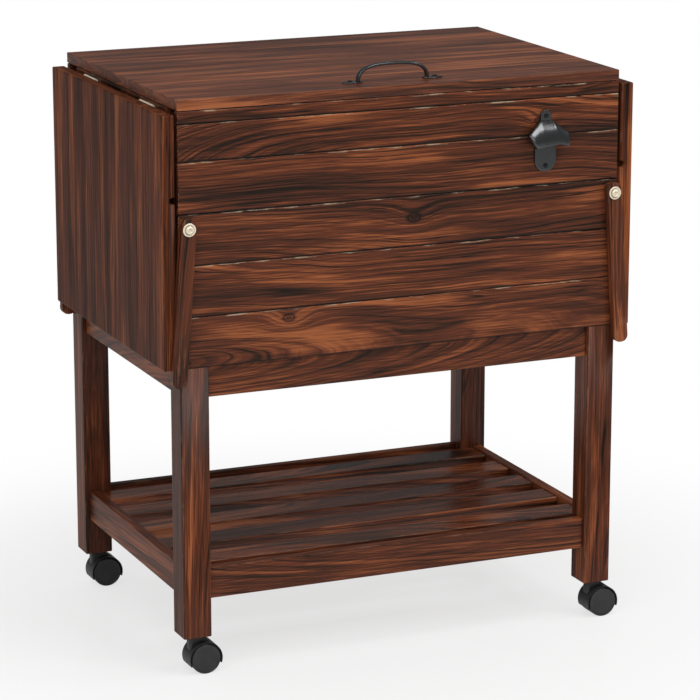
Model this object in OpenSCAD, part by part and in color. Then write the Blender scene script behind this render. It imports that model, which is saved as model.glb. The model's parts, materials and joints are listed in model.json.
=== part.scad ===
// Wooden cooler cart: a boarded box with an insulated tub and a hinged lid, on four
// legs with a slatted shelf and swivel casters, with a drop leaf at each end.
// The origin is on the floor under the middle of the whole cart. X runs left to
// right, Y runs front to back, Z is up.

/* [Body] */
// Width of the box, without the drop leaves
body_w = 646; // [560:1:800]
// Depth of the box, front boards to rear boards
body_d = 450; // [400:1:560]
// Height of the lid's top face above the floor
lid_top_h = 790; // [740:1:880]
// Thickness of the wall boards
wall_t = 12; // [10:0.5:15]
// Height of each of the four wide wall boards
wide_board_h = 69.3; // [64:0.1:74]
// Height of the narrower wall board above them
upper_board_h = 50.5; // [44:0.5:58]
// Height of the strip under the lid
top_strip_h = 17.3; // [15:0.1:24]
// Gap between neighbouring wall boards
board_gap = 0.6; // [0.2:0.1:1.5]
// Bevel along each board's long edges
board_bevel = 1.4; // [0.5:0.1:2.5]

/* [Legs] */
// Side of the square leg
leg_w = 40; // [38:1:48]
// Height of the legs' feet above the floor
leg_foot_h = 54; // [52:0.5:60]

/* [Aprons and shelf] */
// Height of the aprons under the box
apron_h = 43; // [30:1:60]
// Thickness of the aprons and the shelf rails
rail_t = 14; // [10:0.5:18]
// How far the aprons and rails sit behind the legs' outer faces
rail_inset = 7; // [3:0.5:10]
// Height of the shelf rails' top edge above the floor
shelf_h = 150; // [120:1:200]
// Depth of the shelf rails from top to bottom
shelf_rail_h = 44; // [36:1:60]
// Width of a shelf slat
slat_w = 46; // [30:0.5:50]
// Thickness of a shelf slat
slat_t = 15; // [8:0.5:18]
// How far the slats lie below the rails' top edge
slat_drop = 2.5; // [0:0.5:5]
// Gap between the outer slats and the legs
slat_leg_gap = 1; // [0.5:0.1:4]
// Side of the cleat that carries the slats' ends
cleat_w = 14; // [10:1:16]

/* [Lid] */
// Thickness of the lid boards
lid_t = 14; // [12:0.5:18]
// Gap between the closed lid and the walls
lid_seat_gap = 0.4; // [0.2:0.1:1]
// Width of the rear board of the lid, the others sharing what is left
lid_rear_board_w = 78; // [40:1:90]
// Gap between neighbouring lid boards
lid_board_gap = 0.4; // [0.2:0.1:1]
// Width of a batten under the lid
lid_batten_w = 34; // [24:1:36]
// Thickness of the insulated panel under the lid
lid_panel_t = 26; // [18:1:40]
// Gap round the insulated panel in the tub's mouth
lid_panel_gap = 3; // [2:0.5:6]

/* [Tub] */
// Thickness of the tub's insulation
foam_t = 20; // [12:1:28]
// Wall of the tub's liner
liner_t = 2.5; // [1.5:0.1:4]
// Radius of the liner's upright corners, outside
liner_r = 28; // [12:1:40]
// Depth of the liner's rim below the lid boards
rim_drop = 12; // [11:0.5:16]
// Thickness of the floor panel that carries the tub
floor_t = 9; // [6:0.5:15]
// Assembly clearance round the tub and the floor panel
fit_gap = 0.5; // [0.2:0.1:1]
// Outer radius of the drain tube
drain_r = 9; // [6:0.5:12]
// Distance of the drain from the tub's middle, to the right
drain_x = 200; // [0:1:220]
// How far the drain tube reaches below the floor panel
drain_reach = 24; // [16:1:28]

/* [Drop leaves] */
// Thickness of a drop leaf
leaf_t = 18; // [15:0.5:22]
// Length of a drop leaf from its hinged edge to its free edge
leaf_l = 341; // [320:1:345]
// Gap between the hanging leaf and the box
leaf_gap = 4.5; // [4.2:0.1:7]
// Gap between the raised leaf and the lid
leaf_edge_gap = 1; // [0.6:0.1:2]
// Width of the notch that takes a support arm's peg
notch_w = 10; // [9:0.2:13]
// Depth of that notch into the leaf's thickness
notch_depth = 8; // [8:0.1:10]
// Length of that notch in from the leaf's edge
notch_l = 17; // [15:0.5:24]
// Distance of the notch from the leaf's hinge line
notch_reach = 111.75; // [100:0.25:115]

/* [Support arms] */
// Width of a support arm
arm_w = 21; // [18:0.5:24]
// Thickness of a support arm
arm_t = 12; // [10:0.5:15]
// Running gap between a support arm and the wall
arm_gap = 1; // [0.6:0.1:2]
// Distance of an arm's pivot from the box's edge
pivot_inset = 10; // [9:0.5:14]
// Depth of the pivots below the lid's top face
pivot_drop = 169; // [166:0.5:172]
// Length of an arm past its pivot, at the upper end
arm_head = 14.5; // [12:0.5:18]
// Length of an arm past its peg, at the lower end
arm_tail = 15.5; // [12:0.5:18]
// Corner radius of the arms' ends
arm_corner_r = 9; // [4:0.5:10]
// Radius of the peg at the arm's lower end
peg_r = 4; // [3:0.1:4.3]
// How far the peg reaches behind the arm
peg_l = 14; // [11:0.5:14.5]
// Clearance between the hanging peg and the leg
peg_gap = 0.3; // [0.2:0.1:0.8]
// Radius of the pivot screw's shank
pivot_r = 3; // [2.5:0.1:4]
// Depth of the pivot screw in the leg
pivot_bite = 20; // [14:1:24]
// Radius of the pivot's washer
washer_r = 9; // [7.5:0.5:10]
// Thickness of the pivot's outer washer
washer_t = 1.6; // [1:0.1:2.5]
// Radius of the pivot screw's head
pivot_head_r = 5.6; // [4.5:0.1:6.5]
// Height of the pivot screw's head
pivot_head_h = 4.2; // [3:0.1:6]

/* [Hinges] */
// Length of a leaf hinge
leaf_hinge_l = 50; // [40:1:70]
// Distance of the leaf hinges from the cart's middle
leaf_hinge_y = 115; // [80:1:125]
// Width of each plate of a leaf hinge
leaf_hinge_w = 26; // [16:1:34]
// Thickness of a leaf hinge's plates
leaf_hinge_t = 1.2; // [0.8:0.1:1.4]
// Radius of a leaf hinge's knuckle
leaf_knuckle_r = 2; // [1.9:0.05:2]
// Length of a lid hinge
lid_hinge_l = 60; // [40:1:80]
// Distance of the lid hinges from the cart's middle
lid_hinge_x = 205; // [150:1:220]
// Width of a lid hinge's plate on the wall
lid_hinge_w = 28; // [20:1:36]
// Thickness of a lid hinge's plates
lid_hinge_t = 1.5; // [1:0.1:2]
// Radius of a lid hinge's knuckle
lid_knuckle_r = 3; // [2.5:0.1:3.5]
// Radius of the hinge pins
hinge_pin_r = 1.1; // [0.9:0.05:1.2]

/* [Lid handle] */
// Distance between the handle's screws
handle_span = 125; // [100:1:160]
// Width over the handle's arch
handle_arch_w = 106; // [84:1:116]
// Height of the handle's arch above the lid
handle_h = 26; // [22:0.5:36]
// Thickness of the handle's bar
handle_t = 4.6; // [3.5:0.1:6]
// Width of the handle's bar
handle_w = 9; // [6:0.5:12]
// Distance of the handle from the lid's front edge
handle_inset = 40; // [25:1:60]
// Length of a foot past its screw
foot_tip = 12; // [8:0.5:16]
// Half width of a foot
foot_half_w = 8; // [6:0.5:10]
// Thickness of a foot
foot_t = 2.4; // [1.5:0.1:4]

/* [Bottle opener] */
// Distance of the opener's middle from the box's right end
opener_inset = 113; // [98:1:160]
// Depth of the opener's middle below the lid's top face
opener_drop = 90; // [80:1:100]
// Thickness of the opener's plate
opener_t = 3.5; // [2.5:0.1:5]
// Distance between the opener's screws
opener_span = 69; // [60:1:76]
// How far the opener's hood stands out from the wall
hood_reach = 32; // [26:0.5:36]
// Half width of the opener's hood
hood_half_w = 33; // [28:0.5:38]
// Wall of the opener's hood
hood_wall = 3; // [2:0.1:4]

/* [Casters] */
// Diameter of a caster wheel
wheel_d = 42; // [36:0.5:44]
// Width of one of the two wheels
wheel_w = 13; // [10:0.5:14]
// Width of the caster over both wheels
caster_w = 33; // [30:0.5:38]
// Distance of the axle behind the swivel
caster_trail = 13.4; // [10:0.2:16]
// Gap between the wheels and the hood
tread_gap = 0.8; // [0.5:0.1:1.5]
// Wall of the caster's hood
caster_hood_t = 1.8; // [1.2:0.1:3]
// Radius of the axle
axle_r = 3; // [2:0.1:4]
// Radius of the stem in the leg
stem_r = 4.5; // [3:0.1:5]
// Length of the stem in the leg
stem_l = 36; // [20:1:50]
// Radius of the collar under the leg
collar_r = 10; // [8:0.5:13]
// Thickness of the collar under the leg
collar_t = 3; // [2:0.5:5]

/* [Hidden] */

$fn = 64;
left = -1;
right = 1;
front = -1;
rear = 1;
along_x = 0;
along_y = 1;
along_z = 2;
through = 1;

// Faces of the box
half_w = body_w / 2;
arm_reach = arm_gap + arm_t + washer_t + pivot_head_h;
mid_y = (hood_reach - arm_reach) / 2;
front_y = mid_y - body_d / 2;
rear_y = mid_y + body_d / 2;
lid_z = lid_top_h - lid_t;
wall_top = lid_z - lid_seat_gap;
board_rows = 6;
lid_rows = 5;
slat_rows = 5;
board_heights = [
    wide_board_h, wide_board_h, wide_board_h, wide_board_h, upper_board_h, top_strip_h
];
wall_h = 4 * wide_board_h + upper_board_h + top_strip_h;
wall_bottom = wall_top - wall_h;
leg_in_x = half_w - leg_w;

// Tub
foam_bottom = wall_bottom + floor_t;
rim_top = wall_top - rim_drop;
rim_bottom = rim_top - liner_t;
foam_half_x = leg_in_x - fit_gap;
foam_half_y = body_d / 2 - leg_w - fit_gap;
liner_half_x = foam_half_x - foam_t - fit_gap;
liner_half_y = foam_half_y - foam_t - fit_gap;
liner_bottom = foam_bottom + foam_t;
foam_inner_r = liner_r + fit_gap;
liner_inner_r = liner_r - liner_t;
drain_bore_r = drain_r * 0.7;
drain_flange_r = drain_r + 7;
drain_cap_r = drain_r + 3.5;
drain_cap_h = 12;
drain_end = wall_bottom - drain_reach;

// Lid
lid_pitch = (body_d - lid_rear_board_w) / (lid_rows - 1);
panel_half_x = liner_half_x - liner_t - lid_panel_gap;
panel_half_y = liner_half_y - liner_t - lid_panel_gap;
panel_r = liner_inner_r - lid_panel_gap;
batten_h = rim_drop - 1;
batten_x = liner_half_x + 4;
batten_half_y = body_d / 2 - wall_t - 8;

// Leaf and arm geometry: the raised leaf is level with the lid, and the peg of the
// raised arm then lies in the leaf's notch
leaf_axis_x = half_w + leaf_gap / 2;
leaf_axis_z = lid_top_h - leaf_t - leaf_gap / 2;
leaf_in_x = half_w + leaf_gap;
leaf_top = leaf_axis_z + leaf_gap / 2 - leaf_edge_gap;
leaf_bottom = leaf_top - leaf_l;
notch_z = leaf_axis_z - notch_reach;
notch_r = notch_w / 2;
pivot_x = half_w - pivot_inset;
pivot_z = lid_top_h - pivot_drop;
peg_seat_gap = 0.3;
raised_dx = leaf_axis_x + notch_reach - pivot_x;
raised_dz = lid_top_h - leaf_t + notch_depth - peg_seat_gap - peg_r - pivot_z;
arm_r = norm([raised_dx, raised_dz]);
hanging_dx = pivot_inset + peg_gap + peg_r;
hang_angle = asin(hanging_dx / arm_r);

// Hinges
knuckles = 5;
knuckle_gap = 0.4;
pin_fit = 0.05;
lid_axis_y = rear_y + lid_knuckle_r + 0.2;
lid_axis_z = lid_z;
lid_plate_up = lid_t - 2;

// Handle and opener
handle_y = front_y + handle_inset;
handle_screw_r = 1.9;
foot_neck = 1;
foot_shoulder = 3;
screw_fit = 0.1;
opener_x = half_w - opener_inset;
opener_z = lid_top_h - opener_drop;
opener_top_z = opener_z + opener_span / 2;
opener_low_z = opener_z - opener_span / 2;
opener_screw_r = 1.7;
opener_bite = 10;
tab_r = 8;
plate_r = 16;
plate_end = 8.5;
hood_top = 28;
hood_neck_half_w = 9.5;
hood_shoulder = 12;
hood_tip_drop = 7;
hood_lip_half_w = 11;
screw_head_r = 3.4;
screw_head_h = 1.6;

// Casters
wheel_r = wheel_d / 2;
caster_hood_r = wheel_r + tread_gap + caster_hood_t;
web_t = caster_w - 2 * wheel_w - 1.6;
swivel_h = leg_foot_h - collar_t;
hood_boss_r = 7.5;
hood_boss_from = wheel_r + 12;
hood_slope_top = 13;
hood_slope_angle = 50;
hood_tail_drop = 9;
hood_nose_drop = 3;
stem_neck_r = 3.5;
stem_neck_l = 8;
stem_fit = 0.15;
swivel_gap = 0.4;

wood = "#5a2f1c";
dark_wood = "#4a2617";

// A straight bar with bevelled long edges, its lowest corner at the origin
module bar(size, along, bevel) {
    a = along == along_x ? size[1] : size[0];
    b = along == along_z ? size[1] : size[2];
    l = size[along];
    turn = along == along_x ? [90, 0, 90] : along == along_y ? [90, 0, 0] : [0, 0, 0];
    shift = along == along_y ? [0, l, 0] : [0, 0, 0];
    translate(shift)
        rotate(turn)
            linear_extrude(l)
                polygon([
                    [bevel, 0], [a - bevel, 0], [a, bevel], [a, b - bevel],
                    [a - bevel, b], [bevel, b], [0, b - bevel], [0, bevel]
                ]);
}

// A bar between two opposite corners
module bar_between(low, high, along, bevel = board_bevel) {
    translate(low)
        bar(high - low, along, bevel);
}

// A block with round upright corners, centred in plan, of exact boxes and cylinders
module round_block(half_x, half_y, bottom, top, r) {
    h = top - bottom;
    translate([-half_x + r, -half_y, bottom])
        cube([2 * (half_x - r), 2 * half_y, h]);
    translate([-half_x, -half_y + r, bottom])
        cube([2 * half_x, 2 * (half_y - r), h]);
    for (sx = [left, right], sy = [front, rear])
        translate([sx * (half_x - r), sy * (half_y - r), bottom])
            cylinder(r = r, h = h);
}

// A cylinder along Y from y0 to y1
module rod_y(x, z, y0, y1, r) {
    translate([x, min(y0, y1), z])
        rotate([-90, 0, 0])
            cylinder(r = r, h = abs(y1 - y0));
}

// A cylinder along X from x0 to x1
module rod_x(y, z, x0, x1, r) {
    translate([min(x0, x1), y, z])
        rotate([0, 90, 0])
            cylinder(r = r, h = abs(x1 - x0));
}

function face_y(side) = side == front ? front_y : rear_y;
function board_z(row) = row == 0 ? wall_bottom : board_z(row - 1) + board_heights[row - 1];

// Holes for the arms' pivot screws, from the outside of the boards into the legs
module pivot_holes(side, r = pivot_r + screw_fit) {
    for (sx = [left, right])
        rod_y(sx * pivot_x, pivot_z, face_y(side) + side, face_y(side) - side * (wall_t + pivot_bite), r);
}

module leg(sx, sy) {
    corner_x = sx * half_w;
    inner_x = sx * leg_in_x;
    corner_y = face_y(sy);
    inner_y = corner_y - sy * leg_w;
    low = [min(corner_x, inner_x), min(corner_y, inner_y), leg_foot_h];
    high = [max(corner_x, inner_x), max(corner_y, inner_y), rim_bottom];
    centre = [(corner_x + inner_x) / 2, (corner_y + inner_y) / 2, leg_foot_h];
    color(dark_wood)
        difference() {
            bar_between(low, high, along_z);
            // Rabbet that takes the wall boards
            translate([low[0] - through, sy == front ? corner_y - through : corner_y - wall_t, wall_bottom])
                cube([leg_w + 2 * through, wall_t + through, wall_h]);
            pivot_holes(sy);
            translate(centre - [0, 0, through])
                cylinder(r = stem_r + screw_fit, h = stem_l + 2 * through);
        }
}

// One wall board of the front or rear, rows counted from the bottom
module wide_wall_board(side, row) {
    y0 = face_y(side);
    y1 = y0 - side * wall_t;
    z0 = board_z(row - 1);
    color(wood)
        difference() {
            bar_between(
                [-half_w, min(y0, y1), z0],
                [half_w, max(y0, y1), z0 + board_heights[row - 1] - board_gap],
                along_x);
            pivot_holes(side);
            if (side == front)
                for (z = [opener_low_z, opener_top_z])
                    rod_y(opener_x, z, front_y - through, front_y + opener_bite, opener_screw_r + screw_fit);
        }
}

module front_board(row) {
    wide_wall_board(front, row);
}

module rear_boards() {
    for (row = [1:board_rows])
        wide_wall_board(rear, row);
}

module end_boards(sx) {
    x0 = min(sx * half_w, sx * (half_w - wall_t));
    color(wood)
        for (row = [1:board_rows])
            bar_between(
                [x0, front_y + leg_w, board_z(row - 1)],
                [x0 + wall_t, rear_y - leg_w, board_z(row) - board_gap],
                along_y);
}

// A rail between two legs, on the front or rear
module cross_rail(side, z0, z1) {
    y0 = face_y(side) - side * rail_inset;
    y1 = y0 - side * rail_t;
    color(dark_wood)
        bar_between([-leg_in_x, min(y0, y1), z0], [leg_in_x, max(y0, y1), z1], along_x);
}

// A rail between two legs, at the left or right end
module end_rail(sx, z0, z1) {
    x0 = sx * (half_w - rail_inset);
    x1 = x0 - sx * rail_t;
    color(dark_wood)
        bar_between([min(x0, x1), front_y + leg_w, z0], [max(x0, x1), rear_y - leg_w, z1], along_y);
}

module apron_cross(side) {
    cross_rail(side, wall_bottom - apron_h, wall_bottom);
}

module apron_end(sx) {
    end_rail(sx, wall_bottom - apron_h, wall_bottom);
}

module shelf_cross(side) {
    cross_rail(side, shelf_h - shelf_rail_h, shelf_h);
}

module shelf_end(sx) {
    end_rail(sx, shelf_h - shelf_rail_h, shelf_h);
}

module shelf_slats() {
    reach = half_w - rail_inset - rail_t;
    top = shelf_h - slat_drop;
    slat_pitch = (body_d - 2 * (leg_w + slat_leg_gap) - slat_w) / (slat_rows - 1);
    color(wood)
        for (k = [0:slat_rows - 1]) {
            y = mid_y + (k - (slat_rows - 1) / 2) * slat_pitch;
            bar_between([-reach, y - slat_w / 2, top - slat_t], [reach, y + slat_w / 2, top], along_x);
        }
}

module shelf_cleats() {
    top = shelf_h - slat_drop - slat_t;
    color(dark_wood)
        for (sx = [left, right]) {
            x0 = sx * (half_w - rail_inset - rail_t);
            x1 = x0 - sx * cleat_w;
            bar_between(
                [min(x0, x1), front_y + leg_w, top - cleat_w],
                [max(x0, x1), rear_y - leg_w, top],
                along_y);
        }
}

module floor_panel() {
    half_x = half_w - wall_t - fit_gap;
    half_y = body_d / 2 - wall_t - fit_gap;
    color("#b98a5a")
        difference() {
            translate([-half_x, mid_y - half_y, wall_bottom])
                cube([2 * half_x, 2 * half_y, floor_t]);
            for (sx = [left, right], sy = [front, rear])
                translate([
                    sx == left ? -half_w : leg_in_x - fit_gap,
                    sy == front ? front_y : rear_y - leg_w - fit_gap,
                    wall_bottom - through
                ])
                    cube([leg_w + fit_gap, leg_w + fit_gap, floor_t + 2 * through]);
            translate([drain_x, mid_y, wall_bottom - through])
                cylinder(r = drain_r + fit_gap, h = floor_t + 2 * through);
        }
}

module tub_insulation() {
    color("white")
        difference() {
            translate([-foam_half_x, mid_y - foam_half_y, foam_bottom])
                cube([2 * foam_half_x, 2 * foam_half_y, rim_bottom - foam_bottom]);
            translate([0, mid_y, 0])
                round_block(
                    liner_half_x + fit_gap, liner_half_y + fit_gap,
                    liner_bottom, rim_bottom + through, foam_inner_r);
            translate([drain_x, mid_y, foam_bottom - through])
                cylinder(r = drain_r + fit_gap, h = foam_t + 2 * through);
        }
}

// The liner's floor with the drain's hole, and its rim
module tub_liner() {
    in_x = liner_half_x - liner_t;
    in_y = liner_half_y - liner_t;
    color("#e8e8e4")
        translate([0, mid_y, 0]) {
            difference() {
                round_block(liner_half_x, liner_half_y, liner_bottom, liner_bottom + liner_t, liner_r);
                translate([drain_x, 0, liner_bottom - through])
                    cylinder(r = drain_r + screw_fit, h = liner_t + 2 * through);
            }
            difference() {
                round_block(
                    half_w - wall_t - fit_gap, body_d / 2 - wall_t - fit_gap,
                    rim_bottom, rim_top, liner_t * 2);
                round_block(in_x, in_y, rim_bottom - through, rim_top + through, liner_inner_r);
            }
        }
}

// The straight parts of the liner's walls, between its floor and its rim
module liner_walls() {
    z0 = liner_bottom + liner_t;
    h = rim_bottom - z0;
    color("#e8e8e4")
        translate([0, mid_y, z0]) {
            for (sx = [left, right])
                translate([sx == left ? -liner_half_x : liner_half_x - liner_t, -liner_half_y + liner_r, 0])
                    cube([liner_t, 2 * (liner_half_y - liner_r), h]);
            for (sy = [front, rear])
                translate([-liner_half_x + liner_r, sy == front ? -liner_half_y : liner_half_y - liner_t, 0])
                    cube([2 * (liner_half_x - liner_r), liner_t, h]);
        }
}

// The upright round corners that join the liner's walls
module liner_corners() {
    z0 = liner_bottom + liner_t;
    h = rim_bottom - z0;
    color("#e8e8e4")
        translate([0, mid_y, z0])
            for (sx = [left, right], sy = [front, rear])
                translate([sx * (liner_half_x - liner_r), sy * (liner_half_y - liner_r), 0])
                    intersection() {
                        difference() {
                            cylinder(r = liner_r, h = h);
                            translate([0, 0, -through])
                                cylinder(r = liner_inner_r, h = h + 2 * through);
                        }
                        translate([min(0, sx * liner_r * 2), min(0, sy * liner_r * 2), 0])
                            cube([liner_r * 2, liner_r * 2, h]);
                    }
}

module drain_tube() {
    floor_z = liner_bottom + liner_t;
    flange_t = 1.5;
    color("white")
        translate([drain_x, mid_y, 0])
            difference() {
                union() {
                    translate([0, 0, drain_end])
                        cylinder(r = drain_r, h = floor_z - drain_end);
                    translate([0, 0, floor_z])
                        cylinder(r = drain_flange_r, h = flange_t);
                }
                translate([0, 0, drain_end - through])
                    cylinder(r = drain_bore_r, h = floor_z + flange_t - drain_end + 2 * through);
            }
}

module drain_cap() {
    base_t = 3;
    color("#303030")
        translate([drain_x, mid_y, drain_end - base_t])
            difference() {
                cylinder(r = drain_cap_r, h = drain_cap_h);
                translate([0, 0, base_t - 0.3])
                    cylinder(r = drain_r + 0.3, h = drain_cap_h);
            }
}

// One board of the lid, rows counted from the front
module lid_board(row) {
    y0 = front_y + (row - 1) * lid_pitch;
    y1 = row < lid_rows ? y0 + lid_pitch - lid_board_gap : rear_y;
    color(wood)
        difference() {
            bar_between([-half_w, y0, lid_z], [half_w, y1, lid_top_h], along_x, 0.7);
            for (sx = [left, right])
                translate([sx * handle_span / 2, handle_y, lid_z + 2])
                    cylinder(r = handle_screw_r + screw_fit, h = lid_t);
        }
}

module lid_battens() {
    color(dark_wood)
        for (sx = [left, right]) {
            x0 = sx * batten_x;
            x1 = x0 + sx * lid_batten_w;
            bar_between(
                [min(x0, x1), mid_y - batten_half_y, lid_z - batten_h],
                [max(x0, x1), mid_y + batten_half_y, lid_z],
                along_y);
        }
}

module lid_inner_panel() {
    color("#e8e8e4")
        translate([0, mid_y, 0])
            round_block(panel_half_x, panel_half_y, lid_z - lid_panel_t, lid_z, panel_r);
}

// The handle's arch is a flat bar along a squared-off half ellipse
arch_steps = 28;
arch_power = 0.72;
function squared(v) = sign(v) * pow(abs(v), arch_power);
function arch_point(k, half_width, height) =
    let (t = 180 * k / arch_steps)
    [half_width * squared(cos(t)), height * squared(sin(t))];

module lid_handle() {
    half_arch = handle_arch_w / 2;
    screw_x = handle_span / 2;
    outer = [for (k = [0:arch_steps]) arch_point(k, half_arch, handle_h)];
    inner = [for (k = [arch_steps:-1:0]) arch_point(k, half_arch - handle_t, handle_h - handle_t)];
    color("#3b3d3f")
        translate([0, handle_y, lid_top_h])
            difference() {
                union() {
                    translate([0, handle_w / 2, 0])
                        rotate([90, 0, 0])
                            linear_extrude(handle_w)
                                polygon(concat(outer, inner));
                    for (sx = [left, right])
                        linear_extrude(foot_t)
                            polygon([
                                [sx * (half_arch - handle_t - foot_neck), -handle_w / 2],
                                [sx * (half_arch + foot_neck), -handle_w / 2],
                                [sx * (screw_x - foot_neck), -foot_half_w],
                                [sx * (screw_x + foot_shoulder), -foot_half_w * 0.9],
                                [sx * (screw_x + foot_tip), 0],
                                [sx * (screw_x + foot_shoulder), foot_half_w * 0.9],
                                [sx * (screw_x - foot_neck), foot_half_w],
                                [sx * (half_arch + foot_neck), handle_w / 2],
                                [sx * (half_arch - handle_t - foot_neck), handle_w / 2]
                            ]);
                }
                for (sx = [left, right])
                    translate([sx * screw_x, 0, -through])
                        cylinder(r = handle_screw_r + screw_fit, h = foot_t + 2 * through);
            }
}

module lid_handle_screws() {
    bite = lid_t - 2.5;
    color("#2e3032")
        for (sx = [left, right])
            translate([sx * handle_span / 2, handle_y, lid_top_h]) {
                translate([0, 0, -bite])
                    cylinder(r = handle_screw_r, h = bite + foot_t);
                translate([0, 0, foot_t])
                    cylinder(r1 = screw_head_r, r2 = screw_head_r * 0.6, h = screw_head_h);
            }
}

// A butt hinge's knuckles of one plate, along Y from 0; odd is 1 for the two inner
// knuckles and 0 for the three outer ones
module knuckle_run(length, r, odd) {
    step = length / knuckles;
    for (k = [odd:2:knuckles - 1])
        rod_y(0, 0, k * step + knuckle_gap / 2, (k + 1) * step - knuckle_gap / 2, r);
}

// One plate of a butt hinge along Y, its pin at the origin. The plate hangs from z = 0
// to z = -width, with its outer face at x = face and its thickness towards the pin
module hinge_plate(length, width, t, r, face, odd) {
    step = length / knuckles;
    inner = face > 0 ? face - t : face + t;
    difference() {
        union() {
            translate([min(face, inner), 0, -width])
                cube([t, length, width - r - knuckle_gap]);
            for (k = [odd:2:knuckles - 1])
                translate([min(face, inner), k * step + knuckle_gap / 2, -width / 2])
                    cube([t, step - knuckle_gap, width / 2]);
            knuckle_run(length, r, odd);
        }
        rod_y(0, 0, -through, length + through, hinge_pin_r + pin_fit);
    }
}

// Leaf hinges of one side: own is true for the plates on the leaf
module leaf_hinge_set(sx, own) {
    face = leaf_gap / 2 * (own ? sx : -sx);
    for (sy = [front, rear])
        translate([sx * leaf_axis_x, mid_y + sy * leaf_hinge_y - leaf_hinge_l / 2, leaf_axis_z])
            hinge_plate(leaf_hinge_l, leaf_hinge_w, leaf_hinge_t, leaf_knuckle_r, face, own ? 1 : 0);
}

// Lid hinges: own is true for the plates on the lid, which stand up from the pin
module lid_hinge_set(own) {
    face = lid_axis_y - rear_y;
    for (sx = [left, right])
        translate([sx * lid_hinge_x - lid_hinge_l / 2, lid_axis_y, lid_axis_z])
            rotate([0, 0, -90])
                if (own)
                    mirror([0, 0, 1])
                        hinge_plate(lid_hinge_l, lid_plate_up, lid_hinge_t, lid_knuckle_r, face, 1);
                else
                    hinge_plate(lid_hinge_l, lid_hinge_w, lid_hinge_t, lid_knuckle_r, face, 0);
}

module hinge_box_plates() {
    color("silver") {
        for (sx = [left, right])
            leaf_hinge_set(sx, false);
        lid_hinge_set(false);
    }
}

module lid_hinge_plates() {
    color("silver")
        lid_hinge_set(true);
}

module leaf_hinge_plates(sx) {
    color("silver")
        leaf_hinge_set(sx, true);
}

module hinge_pins() {
    color("silver") {
        for (sx = [left, right], sy = [front, rear]) {
            y0 = mid_y + sy * leaf_hinge_y - leaf_hinge_l / 2;
            rod_y(sx * leaf_axis_x, leaf_axis_z, y0, y0 + leaf_hinge_l, hinge_pin_r);
        }
        for (sx = [left, right]) {
            x0 = sx * lid_hinge_x - lid_hinge_l / 2;
            rod_x(lid_axis_y, lid_axis_z, x0, x0 + lid_hinge_l, hinge_pin_r);
        }
    }
}

module drop_leaf(sx) {
    x0 = sx * leaf_in_x;
    x1 = x0 + sx * leaf_t;
    bore_x = x0 + sx * (notch_depth - notch_r);
    color(wood)
        difference() {
            bar_between(
                [min(x0, x1), front_y, leaf_bottom],
                [max(x0, x1), rear_y, leaf_top],
                along_y);
            // Notches for the support arms' pegs
            for (side = [front, rear]) {
                y0 = face_y(side) + side * through;
                y1 = face_y(side) - side * notch_l;
                rod_y(bore_x, notch_z, y0, y1, notch_r);
                translate([min(x0 - sx * through, bore_x), min(y0, y1), notch_z - notch_r])
                    cube([abs(bore_x - x0) + through, abs(y1 - y0), notch_w]);
            }
        }
}

// One support arm, hanging from its pivot with its peg against the leg
module support_arm(sx, side) {
    y0 = face_y(side) + side * arm_gap;
    y1 = y0 + side * arm_t;
    peg_y = y0 - side * peg_l;
    low = arm_r + arm_tail;
    r = arm_corner_r;
    translate([sx * pivot_x, 0, pivot_z])
        rotate([0, -sx * hang_angle, 0]) {
            color(dark_wood)
                difference() {
                    translate([0, max(y0, y1), 0])
                        rotate([90, 0, 0])
                            linear_extrude(arm_t)
                                union() {
                                    translate([-arm_w / 2 + r, -low])
                                        square([arm_w - 2 * r, low + arm_head]);
                                    translate([-arm_w / 2, -low + r])
                                        square([arm_w, low + arm_head - 2 * r]);
                                    for (u = [left, right], v = [-low + r, arm_head - r])
                                        translate([u * (arm_w / 2 - r), v])
                                            circle(r = r);
                                }
                    rod_y(0, 0, y0 - side * through, y1 + side * through, pivot_r + 0.3);
                    rod_y(0, -arm_r, y0 - side * through, y0 + side * (arm_t - 3), peg_r + pin_fit);
                }
            color("silver")
                rod_y(0, -arm_r, peg_y, y0 + side * (arm_t - 3.5), peg_r);
        }
}

// Pivot screws with the washers on both sides of each arm
module arm_pivot_screws() {
    inner_washer_r = washer_r - 1.5;
    bore_r = pivot_r + screw_fit;
    color("silver")
        for (sx = [left, right], side = [front, rear]) {
            x = sx * pivot_x;
            wall = face_y(side);
            arm_out = wall + side * (arm_gap + arm_t);
            head = arm_out + side * washer_t;
            rod_y(x, pivot_z, wall - side * (wall_t + pivot_bite - 1), head, pivot_r);
            rod_y(x, pivot_z, head, head + side * pivot_head_h, pivot_head_r);
            difference() {
                rod_y(x, pivot_z, wall, wall + side * (arm_gap - 0.2), inner_washer_r);
                rod_y(x, pivot_z, wall - side, wall + side * arm_gap * 2, bore_r);
            }
            difference() {
                rod_y(x, pivot_z, arm_out + side * 0.1, head, washer_r);
                rod_y(x, pivot_z, arm_out - side, head + side, bore_r);
            }
        }
}

// The opener's hood is a faceted scoop: outer and inner forms share one set of corners,
// drawn in by the wall
function hood_corners(wall, drop) =
    let (top_w = hood_neck_half_w - wall, side_w = hood_half_w - wall, low_w = hood_half_w - hood_tip_drop - wall)
    [for (sx = [left, right])
        each [
            [sx * top_w, 0, hood_top - wall * 1.6],
            [sx * top_w, opener_t + 2, hood_top - 0.5 - wall * 1.6],
            [sx * (side_w - 9), 0, hood_shoulder - wall],
            [sx * side_w, hood_reach / 2, hood_shoulder - 3 - wall],
            [sx * low_w, hood_reach - 2 - wall, -hood_tip_drop - drop],
            [sx * (hood_lip_half_w - wall / 2), hood_reach - wall, -2 - drop],
            [sx * (plate_r + 1.5 - wall), 0, -hood_tip_drop - drop]
        ]
    ];

module hood_form(wall, drop) {
    hull()
        for (p = hood_corners(wall, drop))
            translate([p[0], -p[1], p[2]])
                cube(0.01, center = true);
}

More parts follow.
